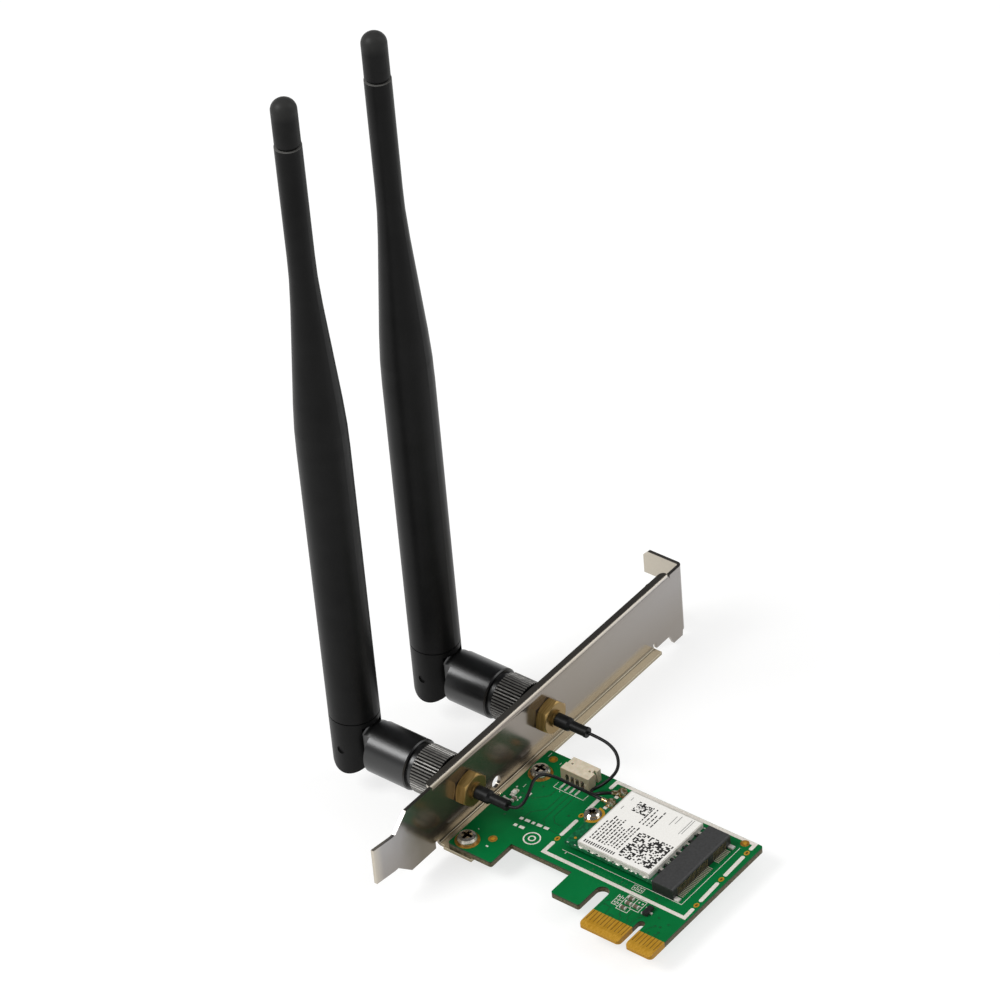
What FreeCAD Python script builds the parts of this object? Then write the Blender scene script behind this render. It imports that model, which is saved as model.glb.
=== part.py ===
import FreeCAD, Part
import math
import os
import Sketcher

# A full-height wireless network card: a folded steel bracket, a short x1 edge-connector board
# with a plug-in radio module, two coaxial leads to two screw-on antenna jacks, and two hinged
# rod antennas. +X runs from the bracket along the board, +Y from the bracket's tongue to its
# screw tab, +Z out of the component side. The origin is the key notch's centre at the card's
# insertion edge, in the middle of the board's thickness.

# Driving sizes in millimetres, each with its meaning
SIZES = [
    # circuit board outline, measured from the key notch's centre and the insertion edge
    ("board_thick", 1.6, "board thickness"),
    ("board_reach", 54.3, "key centre to the edge beside the bracket"),
    ("board_rise", 44.4, "insertion edge to the far long edge"),
    ("tab_long_reach", 12.15, "key centre to the end of the long finger tab"),
    ("tab_short_reach", 8.15, "key centre to the end of the short finger tab"),
    ("key_width", 1.9, "width of the key notch"),
    ("key_rise", 8.6, "insertion edge to the top of the key notch"),
    ("ear_rise", 5.0, "insertion edge to the ear beside the bracket"),
    ("block_rise", 4.7, "insertion edge to the block beside the slot"),
    ("notch_rise", 12.8, "insertion edge to the top of the wide notch"),
    ("notch_far", 41.5, "key centre to the wide notch's far side"),
    ("notch_near", 23.8, "key centre to the wide notch's near side"),
    ("slot_far", 15.7, "key centre to the narrow slot's far side"),
    ("slot_rise", 13.1, "insertion edge to the narrow slot's top"),
    ("board_round", 0.6, "rounding of the board's outer corners"),
    ("bevel_rise", 1.3, "height of the bevel on the finger tabs"),
    ("bevel_depth", 0.42, "depth of that bevel on each face"),
    ("tab_round", 0.9, "rounding of the finger tabs' corners"),
    # gold fingers and pads
    ("plating", 0.05, "thickness of the gold plating"),
    ("contact_rise", 5.6, "height of the gold fingers"),
    ("contact_split", 3.5, "length of the gap lines between fingers"),
    ("contact_pitch", 1.0, "finger pitch"),
    ("contact_gap", 0.22, "width of a gap line"),
    ("long_pitches", 10, "finger pitches on the long tab"),
    ("short_pitches", 6, "finger pitches on the short tab"),
    ("ring_radius", 3.05, "gold ring round a board screw"),
    ("dot_radius", 1.1, "round gold test pad"),
    ("dot_inset", 2.9, "bracket-side edge to the upper test pad"),
    ("dot_drop", 2.4, "far long edge to the upper test pad"),
    ("ear_dot_inset", 8.1, "bracket-side edge to the lower test pad"),
    ("ear_dot_rise", 6.8, "ear's edge to the lower test pad"),
    ("far_dot_inset", 4.15, "short tab's end to the far test pad"),
    ("far_dot_drop", 1.5, "far long edge to the far test pad"),
    ("small_dot_radius", 0.6, "small gold pad by the module"),
    ("small_dot_gap", 0.7, "module end to the small pad"),
    ("small_dot_drop", 6.6, "module's centre line to the small pad"),
    # folded steel bracket
    ("gauge", 0.86, "sheet thickness"),
    ("bracket_length", 120.02, "tongue tip to screw tab"),
    ("bracket_rise", 103.3, "insertion edge to the screw tab's outer face"),
    ("plate_width", 18.42, "width of the plate"),
    ("plate_gap", 2.8, "board edge to the plate's inner face"),
    ("tongue_width", 10.19, "width of the tongue"),
    ("tongue_length", 7.0, "length of the tongue's straight part"),
    ("tongue_jog", 0.7, "how far the tongue's tip stands out"),
    ("shoulder_run", 4.6, "length of the slanted shoulders"),
    ("end_width", 21.59, "width of the plate at the screw tab"),
    ("end_length", 5.2, "length of that wide end"),
    ("end_slope", 1.6, "length of the slope into the wide end"),
    ("end_chamfer", 1.6, "corner chamfer of the wide end"),
    ("fold_inside", 0.5, "inside radius of the folds"),
    ("flange_depth", 2.5, "board-side flange, out from the plate's inner face"),
    ("flange_start", 5.2, "insertion edge to the start of that flange"),
    ("flange_length", 84.7, "length of that flange"),
    ("relief_width", 1.3, "relief notch at each end of that flange"),
    ("relief_rise", 1.9, "height of the relief notches"),
    ("lip_depth", 2.45, "outer flange, out from the plate's inner face"),
    ("lip_start", 4.6, "insertion edge to the start of the outer flange"),
    ("lip_length", 93.4, "length of the outer flange"),
    ("lip_round", 1.4, "corner rounding of the outer flange"),
    ("tab_depth", 11.43, "screw tab, out from the plate's inner face"),
    ("tab_chamfer", 1.5, "corner chamfer of the screw tab"),
    ("screw_slot_width", 4.42, "width of the slot in the screw tab"),
    ("screw_slot_depth", 5.4, "outer edge to the centre of the slot's round end"),
    ("lug_reach", 7.1, "board lug, in from the board's edge"),
    ("lug_width", 7.2, "width of a board lug"),
    ("led_hole_radius", 1.6, "light hole in the plate"),
    ("led_y", 27.3, "insertion edge to the light hole"),
    ("led_hole_lift", 1.0, "light hole above the board's face"),
    # board screws
    ("screw_inset", 3.35, "board edge to the screw line"),
    ("screw_low_y", 8.2, "insertion edge to the lower screw"),
    ("screw_pitch", 28.2, "distance between the board screws"),
    ("screw_radius", 1.25, "screw shank"),
    ("screw_clearance", 0.1, "screw in the board's hole, each side"),
    ("thread_fit", 0.02, "screw in its tapped hole, each side"),
    ("screw_head_radius", 2.45, "screw head"),
    ("screw_head_height", 1.7, "height of a screw head"),
    ("screw_end", 0.7, "shank beyond the lug"),
    ("recess_width", 0.85, "width of the cross recess's arms"),
    ("recess_length", 3.0, "length of the cross recess's arms"),
    ("recess_depth", 1.1, "depth of the cross recess"),
    # radio module and its socket
    ("module_y", 29.3, "insertion edge to the module's centre line"),
    ("module_width", 22.0, "module width"),
    ("module_length", 30.0, "module length"),
    ("module_thick", 0.8, "module board thickness"),
    ("module_lift", 1.7, "module board above the card's face"),
    ("module_far", 29.9, "key centre to the module's screw end"),
    ("module_hole_radius", 1.75, "half-round screw seat in the module's end"),
    ("shield_inset", 3.5, "module end to the shield"),
    ("shield_length", 20.9, "shield length"),
    ("shield_width", 21.4, "shield width"),
    ("shield_height", 1.3, "shield height"),
    ("shield_wall", 0.2, "shield sheet"),
    ("shield_round", 0.5, "shield corner rounding"),
    ("notch_pitch", 2.35, "pitch of the notches in the shield's foot"),
    ("notch_width", 0.7, "width of a shield notch"),
    ("notch_height", 0.4, "height of a shield notch"),
    ("label_inset", 0.35, "shield edge to the label"),
    ("label_thick", 0.08, "label thickness"),
    ("chip_lift", 0.85, "tallest part under the shield"),
    ("standoff_radius", 2.2, "soldered nut under the module"),
    ("module_screw_radius", 1.0, "module screw shank"),
    ("module_head_radius", 1.72, "module screw head"),
    ("module_head_height", 0.9, "module screw head height"),
    ("module_recess_length", 2.0, "length of its cross recess's arms"),
    ("socket_front", 4.4, "key centre to the socket's open side"),
    ("socket_depth", 6.0, "socket depth"),
    ("socket_length", 22.6, "socket length"),
    ("socket_height", 3.2, "socket height"),
    ("socket_roof", 5.75, "depth of the socket's roof"),
    ("socket_mouth", 0.06, "play round the module in the socket"),
    ("pin_pitch", 0.5, "socket contact pitch"),
    ("pin_width", 0.22, "socket contact width"),
    ("pin_count", 34, "socket contacts"),
    ("pin_key_start", 24, "contacts before the key gap"),
    ("pin_key_count", 4, "contacts left out at the key"),
    ("pin_foot", 1.3, "contact foot beyond the socket"),
    ("pin_thick", 0.15, "contact strip thickness"),
    ("pin_rise", 2.75, "height of the contact's upright part"),
    ("comb_depth", 0.28, "depth of the comb's grooves"),
    ("hold_width", 1.1, "socket hold-down width"),
    ("hold_reach", 1.4, "socket hold-down beyond the housing"),
    ("hold_inset", 0.1, "socket end to its hold-down"),
    ("plug_y", 34.3, "insertion edge to the first lead's plug"),
    ("plug_pitch", 4.5, "distance between the lead plugs"),
    ("plug_inset", 1.75, "module end to the plugs' centre"),
    ("plug_radius", 1.05, "lead plug cap"),
    ("plug_height", 1.05, "lead plug cap height"),
    ("receptacle_side", 2.2, "module receptacle base"),
    ("receptacle_base", 0.25, "height of that base"),
    ("receptacle_radius", 0.72, "module receptacle ring"),
    ("plug_fit", 0.03, "lead plug on its receptacle, each side"),
    ("crimp_radius", 0.55, "lead plug crimp"),
    ("crimp_length", 2.6, "length of the crimp from the cap's centre"),
    ("second_plug_turn", 34.0, "turn of the second lead's plug, in degrees"),
    # side-entry header
    ("header_inset", 12.8, "bracket-side edge to the header's centre"),
    ("header_y", 37.5, "insertion edge to the header's pin side"),
    ("header_width", 8.3, "header width"),
    ("header_depth", 4.9, "header depth"),
    ("header_height", 3.5, "header height"),
    ("header_wall", 0.65, "header wall"),
    ("header_pitch", 1.5, "header pin pitch"),
    ("header_pin", 0.5, "header pin width"),
    ("header_foot", 3.0, "header pin foot beyond the housing"),
    ("window_width", 0.95, "window over a header pin"),
    ("window_height", 2.1, "height of that window"),
    ("roof_hole", 0.6, "square hole in the header's roof"),
    ("side_slot_depth", 0.9, "depth of the slot in the header's side"),
    ("side_slot_width", 1.0, "width of the slot in the header's side"),
    ("roof_step", 0.35, "step in the header's bracket-side edge"),
    # light and small parts
    ("led_length", 2.5, "status light, along Y"),
    ("led_width", 0.95, "status light, along X"),
    ("led_height", 0.8, "status light height"),
    ("led_inset", 2.1, "board edge to the status light"),
    ("chip_length", 1.6, "small chip part"),
    ("chip_width", 0.8, "small chip part width"),
    ("chip_height", 0.6, "small chip part height"),
    ("chip_end", 0.3, "solder end of a chip part"),
    ("cluster_x", 6.5, "key centre to the middle of the chip cluster"),
    ("cluster_y", 11.2, "insertion edge to the middle of the chip cluster"),
    ("regulator_x", 0.85, "key centre to the regulator's centre"),
    ("regulator_y", 11.55, "insertion edge to the regulator's centre"),
    ("regulator_length", 2.9, "regulator body, along Y"),
    ("regulator_width", 1.3, "regulator body width, along X"),
    ("regulator_height", 1.0, "regulator body height"),
    ("regulator_leg", 0.45, "regulator leg width"),
    ("regulator_foot", 0.55, "regulator foot length"),
    # antenna jacks
    ("jack_y", 16.4, "insertion edge to the first jack"),
    ("jack_pitch", 31.0, "distance between the jacks"),
    ("jack_rise", 7.7, "board face to the jack axis"),
    ("thread_radius", 3.175, "jack thread"),
    ("thread_length", 9.7, "plate's inner face to the thread's end"),
    ("jack_hole_gap", 0.08, "thread in the plate's hole, each side"),
    ("hex_across", 8.0, "across the flats of the jack and its nut"),
    ("hex_turn", 15.0, "turn of the hexagons about the jack axis, in degrees"),
    ("jack_hex_thick", 2.9, "thickness of the jack's hexagon"),
    ("hex_break", 0.12, "hexagon's end chamfer inside its flats"),
    ("jack_bore_radius", 2.32, "jack bore"),
    ("jack_bore_depth", 2.4, "depth of that bore"),
    ("core_radius", 2.05, "jack insulator"),
    ("core_fit", 0.02, "play round insulators and contacts"),
    ("jack_wall", 1.4, "metal behind the insulator"),
    ("contact_radius", 0.46, "jack centre pin"),
    ("contact_reach", 1.9, "centre pin beyond the insulator"),
    ("collar_radius", 2.15, "collar of the jack beside its hexagon"),
    ("collar_length", 0.65, "length of that collar"),
    ("stub_radius", 1.5, "crimp stub of the jack"),
    ("stub_length", 2.4, "hexagon to the end of that stub"),
    ("washer_thick", 0.6, "lock washer"),
    ("washer_radius", 4.5, "lock washer outer radius"),
    ("jack_nut_thick", 1.9, "jack nut"),
    ("sleeve_radius", 1.72, "shrink sleeve over the crimp stub"),
    ("sleeve_mid_end", 7.1, "plate's inner face to the end of that part"),
    ("sleeve_taper", 0.7, "length of the taper behind it"),
    ("sleeve_tail_radius", 1.28, "shrink sleeve over the lead"),
    ("sleeve_end", 12.6, "plate's inner face to the sleeve's end"),
    ("sleeve_bead", 0.09, "bead at the sleeve's end"),
    ("lead_diameter", 0.81, "coaxial lead"),
    # antennas
    ("nut_front", 2.9, "plate's outer face to the coupling nut"),
    ("nut_length", 8.6, "coupling nut length"),
    ("nut_radius", 6.2, "coupling nut over the knurl"),
    ("nut_rim_radius", 5.85, "smooth rims of the coupling nut"),
    ("nut_rim", 0.7, "length of the front rim"),
    ("nut_back_rim", 0.35, "length of the back rim"),
    ("nut_gap", 0.45, "turned gap between front rim and knurl"),
    ("nut_gap_radius", 5.3, "radius in that gap"),
    ("nut_chamfer", 0.7, "front chamfer of the coupling nut"),
    ("knurl_count", 48, "knurl grooves"),
    ("knurl_depth", 0.42, "knurl groove depth"),
    ("knurl_width", 0.56, "knurl groove width"),
    ("turn_fit", 0.05, "running play of the coupling nut, each side"),
    ("nut_web", 1.6, "back wall of the coupling nut"),
    ("nut_cavity_radius", 4.75, "cavity behind the nut's thread"),
    ("neck_radius", 3.95, "plug neck in the nut's back wall"),
    ("neck_seat", 3.6, "plug neck inside the barrel"),
    ("plug_sleeve_radius", 2.25, "plug sleeve in the jack bore"),
    ("plug_sleeve_bore", 1.6, "bore of the plug sleeve"),
    ("socket_contact_radius", 0.95, "plug centre contact"),
    ("end_play", 0.1, "axial play between moving faces"),
    ("barrel_radius", 6.5, "hinge barrel"),
    ("barrel_collar_radius", 5.6, "groove between nut and barrel"),
    ("barrel_collar", 1.25, "length of that groove"),
    ("barrel_length", 16.9, "hinge barrel, nut side to end face"),
    ("barrel_edge", 3.0, "rounding of the barrel's end"),
    ("barrel_chamfer", 0.3, "chamfer of the barrel's nut side"),
    ("pin_reach", 3.7, "barrel's end face to the hinge pin"),
    ("tongue_half_rise", 4.6, "half height of the barrel's hinge tongue"),
    ("slot_half", 3.5, "half width of the fork's slot"),
    ("slot_fit", 0.05, "tongue in the slot, each side"),
    ("slot_top", 6.95, "hinge pin to the slot's closed end"),
    ("fork_radius", 6.2, "hinge fork and lower rod"),
    ("fork_end", 7.0, "hinge pin to the fork's round end"),
    ("fork_play", 0.25, "fork's round end to the barrel's step"),
    ("seam_rise", 8.3, "hinge pin to the seam between fork and rod"),
    ("spigot_radius", 4.6, "fork spigot in the rod"),
    ("spigot_length", 5.0, "length of that spigot"),
    ("hinge_pin_radius", 0.8, "hinge pin"),
    ("hinge_fit", 0.03, "hinge pin in the tongue, each side"),
    ("dimple_radius", 1.05, "countersink over each pin end"),
    ("dimple_depth", 0.3, "depth of that countersink"),
    ("seam_chamfer", 0.3, "chamfer of the rod at the seam"),
    ("flare_start", 93.0, "hinge pin to the foot of the taper"),
    ("flare_end", 133.0, "hinge pin to the top of the taper"),
    ("flare_blend", 7.0, "length blended at each end of the taper"),
    ("rod_top_radius", 3.15, "slim upper rod"),
    ("rod_top", 168.9, "hinge pin to the rod's top"),
    ("rod_wall", 1.2, "rod wall"),
    ("cap_gap", 0.75, "groove under the cap"),
    ("cap_gap_radius", 2.55, "radius in that groove"),
    ("cap_radius", 3.0, "cap"),
    ("cap_length", 12.0, "rod's top to the cap's top"),
    ("cap_spigot", 3.0, "cap spigot in the rod"),
    ("wire_radius", 0.7, "antenna wire"),
    ("radiator_radius", 1.6, "tube round the antenna wire"),
    ("radiator_length", 42.0, "length of that tube"),
]


class Size:
    """A value together with the sheet expression that gives it"""

    def __init__(self, text, value):
        self.text = text
        self.value = value

    def joined(self, sign, other, value):
        return Size("(%s %s %s)" % (self.text, sign, size_of(other).text), value)

    def __add__(self, other):
        return self.joined("+", other, self.value + size_of(other).value)

    def __radd__(self, other):
        return size_of(other) + self

    def __sub__(self, other):
        return self.joined("-", other, self.value - size_of(other).value)

    def __rsub__(self, other):
        return size_of(other) - self

    def __mul__(self, other):
        return self.joined("*", other, self.value * size_of(other).value)

    def __rmul__(self, other):
        return size_of(other) * self

    def __truediv__(self, other):
        return self.joined("/", other, self.value / size_of(other).value)

    def __neg__(self):
        return Size("(0 - %s)" % self.text, -self.value)


def size_of(number):
    """A plain number as a size"""
    if isinstance(number, Size):
        return number
    return Size("%.9g" % number, float(number))


class Card:
    """The driving sizes by name"""


doc = FreeCAD.newDocument("wifi_card")
sheet = doc.addObject("Spreadsheet::Sheet", "Sizes")
s = Card()
for line, (alias, number, meaning) in enumerate(SIZES, start=1):
    sheet.set("A%d" % line, meaning)
    sheet.set("B%d" % line, "%.9g" % number)
    sheet.setAlias("B%d" % line, alias)
    setattr(s, alias, Size("Sizes.%s" % alias, float(number)))
doc.recompute()

nodes = []


def node(label, item):
    """Take an object as a finished sub-part"""
    item.Label = label
    nodes.append(item)
    return item


def bind(item, **sizes):
    """Bind properties of an object to sizes"""
    for name, size in sizes.items():
        item.setExpression(name, size_of(size).text)
    return item


def place(item, x=0, y=0, z=0):
    """Bind an object's place"""
    for axis, size in (("x", x), ("y", y), ("z", z)):
        item.setExpression("Placement.Base." + axis, size_of(size).text)
    return item


def turned_to(item, axis):
    """Lay an upright primitive along another axis"""
    if axis == "x":
        item.Placement.Rotation = FreeCAD.Rotation(FreeCAD.Vector(0, 1, 0), 90)
    if axis == "y":
        item.Placement.Rotation = FreeCAD.Rotation(FreeCAD.Vector(1, 0, 0), -90)
    return item


def box(name, low, size):
    """A box from its low corner and its three lengths"""
    item = doc.addObject("Part::Box", name)
    bind(item, Length=size[0], Width=size[1], Height=size[2])
    return place(item, *low)


def rod(name, axis, start, radius, length):
    """A cylinder from its start point along an axis"""
    item = doc.addObject("Part::Cylinder", name)
    turned_to(item, axis)
    bind(item, Radius=radius, Height=length)
    return place(item, *start)


def cut(name, base, *tools):
    """A solid less its tools"""
    for count, tool in enumerate(tools):
        item = doc.addObject("Part::Cut", "%s_cut_%d" % (name, count))
        item.Base = base
        item.Tool = tool
        base = item
    return base


def fuse(name, *items):
    """Solids joined into one"""
    item = doc.addObject("Part::MultiFuse", name)
    item.Shapes = list(items)
    item.Refine = True
    return item


def common(name, first, second):
    """What two solids share"""
    item = doc.addObject("Part::Common", name)
    item.Base = first
    item.Tool = second
    return item


def group(name, items):
    """Separate solids under one name"""
    item = doc.addObject("Part::Compound", name)
    item.Links = list(items)
    return item


def new_body(name, x=0, y=0, z=0):
    """An empty body at a place"""
    body = doc.addObject("PartDesign::Body", name)
    return place(body, x, y, z)


def new_sketch(body, plane, lift):
    """An empty sketch on an origin plane, lifted along the plane's normal"""
    drawing = body.newObject("Sketcher::SketchObject", body.Name + "_sketch")
    for feature in body.Origin.OriginFeatures:
        if feature.Role == plane:
            drawing.AttachmentSupport = (feature, [""])
    drawing.MapMode = "FlatFace"
    drawing.setExpression("AttachmentOffset.Base.z", size_of(lift).text)
    return drawing


def hold(drawing, piece, corner, axis, size):
    """Hold one coordinate of a sketch point"""
    size = size_of(size)
    if abs(size.value) < 1e-9 and size.text == "0":
        line = -2 if axis == "X" else -1
        drawing.addConstraint(Sketcher.Constraint("PointOnObject", piece, corner, line))
        return
    rule = Sketcher.Constraint("Distance" + axis, -1, 1, piece, corner, size.value)
    number = drawing.addConstraint(rule)
    drawing.setExpression("Constraints[%d]" % number, size.text)


def outline(body, plane, lift, corners):
    """A closed outline of straight lines, each corner held by two sizes"""
    drawing = new_sketch(body, plane, lift)
    add_outline(drawing, corners)
    return drawing


def add_outline(drawing, corners):
    """Draw one closed outline in a sketch"""
    first = drawing.GeometryCount
    count = len(corners)
    points = [FreeCAD.Vector(size_of(u).value, size_of(v).value, 0) for u, v in corners]
    for k in range(count):
        drawing.addGeometry(Part.LineSegment(points[k], points[(k + 1) % count]))
    for k in range(count):
        link = Sketcher.Constraint("Coincident", first + k, 2, first + (k + 1) % count, 1)
        drawing.addConstraint(link)
    for k, (u, v) in enumerate(corners):
        hold(drawing, first + k, 1, "X", u)
        hold(drawing, first + k, 1, "Y", v)


def circles(body, plane, lift, radius, centres):
    """A sketch of equal circles"""
    drawing = new_sketch(body, plane, lift)
    for u, v in centres:
        spot = FreeCAD.Vector(size_of(u).value, size_of(v).value, 0)
        up = FreeCAD.Vector(0, 0, 1)
        piece = drawing.addGeometry(Part.Circle(spot, up, size_of(radius).value))
        hold(drawing, piece, 3, "X", u)
        hold(drawing, piece, 3, "Y", v)
        rule = Sketcher.Constraint("Radius", piece, size_of(radius).value)
        number = drawing.addConstraint(rule)
        drawing.setExpression("Constraints[%d]" % number, size_of(radius).text)
    return drawing


def pad(body, drawing, length, back=False):
    """Thicken an outline into the body"""
    feature = body.newObject("PartDesign::Pad", body.Name + "_pad")
    feature.Profile = drawing
    feature.Reversed = back
    bind(feature, Length=length)
    body.Tip = feature
    return feature


def pocket(body, drawing, depth, back=False):
    """Cut an outline out of the body and make sure that it cut"""
    doc.recompute()
    before = body.Shape.Volume
    feature = body.newObject("PartDesign::Pocket", body.Name + "_pocket")
    feature.Profile = drawing
    feature.Reversed = back
    bind(feature, Length=depth)
    body.Tip = feature
    doc.recompute()
    if not body.Shape.Volume < before - 1e-6:
        raise RuntimeError("a pocket cut nothing in " + body.Name)
    return feature


def turn(body, profile, plane="XY_Plane", axis="H_Axis", cutting=False):
    """A turned form: an outline of station and radius swung about an axis"""
    drawing = outline(body, plane, 0, profile)
    kind = "PartDesign::Groove" if cutting else "PartDesign::Revolution"
    feature = body.newObject(kind, body.Name + "_turn")
    feature.Profile = drawing
    feature.ReferenceAxis = (drawing, [axis])
    feature.Angle = 360
    body.Tip = feature
    return feature


def edges_where(shape, test):
    """The names of the edges that pass a test"""
    names = []
    for number, edge in enumerate(shape.Edges, start=1):
        if test(edge):
            names.append("Edge%d" % number)
    return names


def near(first, second):
    return abs(first - size_of(second).value) < 1e-4


def straight_along(edge, axis):
    """Whether an edge is a straight line along x, y or z"""
    if not isinstance(edge.Curve, Part.Line):
        return False
    return abs(getattr(edge.Curve.Direction, axis)) > 0.999


def soften(body, kind, size, test):
    """Fillet or chamfer the edges that pass a test"""
    doc.recompute()
    base = body.Tip
    names = edges_where(base.Shape, test)
    feature = body.newObject("PartDesign::" + kind, body.Name + "_" + kind.lower())
    feature.Base = (base, names)
    bind(feature, **{"Radius" if kind == "Fillet" else "Size": size})
    body.Tip = feature
    doc.recompute()
    if not names or "Invalid" in feature.State:
        raise RuntimeError("%s of %s failed on %s" % (kind, body.Name, names))
    return feature


# Places that several pieces share
board_face = s.board_thick / 2
board_low = -s.board_thick / 2
plate_in = -(s.board_reach + s.plate_gap)
plate_out = plate_in - s.gauge
plate_low = board_low - s.gauge
plate_high = plate_low + s.plate_width
plate_mid = plate_low + s.plate_width / 2
end_low = plate_high - s.end_width
screw_x = s.screw_inset - s.board_reach
screw_ys = (s.screw_low_y, s.screw_low_y + s.screw_pitch)
jack_z = board_face + s.jack_rise
jack_ys = (s.jack_y, s.jack_y + s.jack_pitch)
module_low = board_face + s.module_lift
module_face = module_low + s.module_thick
module_end = -s.module_far
plug_x = module_end + s.plug_inset
plug_ys = (s.plug_y, s.plug_y + s.plug_pitch)
hole_radius = s.thread_radius + s.jack_hole_gap


def fold(body, plane, lift, length, corner, across, along):
    """A right-angled fold: an L of sheet about its outer corner, round inside and out.

    Both arms are signed lengths from the corner, first along the sketch's own
    horizontal, then along its vertical.
    """
    drawing = new_sketch(body, plane, lift)
    u_sign = math.copysign(1, across.value)
    v_sign = math.copysign(1, along.value)
    outer = s.fold_inside + s.gauge
    u_edge, v_edge = corner
    u_sheet = u_edge + u_sign * s.gauge
    v_sheet = v_edge + v_sign * s.gauge
    u_bend = u_edge + u_sign * outer
    v_bend = v_edge + v_sign * outer
    runs = (
        ((u_edge + across, v_edge), (u_bend, v_edge)),
        ((u_edge, v_bend), (u_edge, v_edge + along)),
        ((u_sheet, v_edge + along), (u_sheet, v_bend)),
        ((u_bend, v_sheet), (u_edge + across, v_sheet)),
    )
    for start, end in runs:
        points = [FreeCAD.Vector(u.value, v.value, 0) for u, v in (start, end)]
        piece = drawing.addGeometry(Part.LineSegment(*points))
        for point, (u, v) in ((1, start), (2, end)):
            hold(drawing, piece, point, "X", u)
            hold(drawing, piece, point, "Y", v)
    # straight ends of the two arms
    for first, second in ((1, 2), (3, 0)):
        start = drawing.getPoint(first, 2)
        end = drawing.getPoint(second, 1)
        piece = drawing.addGeometry(Part.LineSegment(start, end))
        drawing.addConstraint(Sketcher.Constraint("Coincident", piece, 1, first, 2))
        drawing.addConstraint(Sketcher.Constraint("Coincident", piece, 2, second, 1))
    # the outer and the inner bend about one centre
    centre = FreeCAD.Vector(u_bend.value, v_bend.value, 0)
    low = math.radians(180 if u_sign > 0 else 0)
    if u_sign * v_sign < 0:
        low = low - math.pi / 2
    for radius, first, second in ((outer, 0, 1), (s.fold_inside, 3, 2)):
        circle = Part.Circle(centre, FreeCAD.Vector(0, 0, 1), radius.value)
        piece = drawing.addGeometry(Part.ArcOfCircle(circle, low, low + math.pi / 2))
        first_end, second_end = (2, 1) if first == 0 else (1, 2)
        ends = ((first, first_end), (second, 1 if first == 0 else 2))
        at_first, at_second = (2, 1) if u_sign * v_sign > 0 else (1, 2)
        drawing.addConstraint(Sketcher.Constraint("Coincident", piece, at_first, *ends[0]))
        drawing.addConstraint(Sketcher.Constraint("Coincident", piece, at_second, *ends[1]))
        number = drawing.addConstraint(Sketcher.Constraint("Radius", piece, radius.value))
        drawing.setExpression("Constraints[%d]" % number, radius.text)
    return pad(body, drawing, length)


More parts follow.
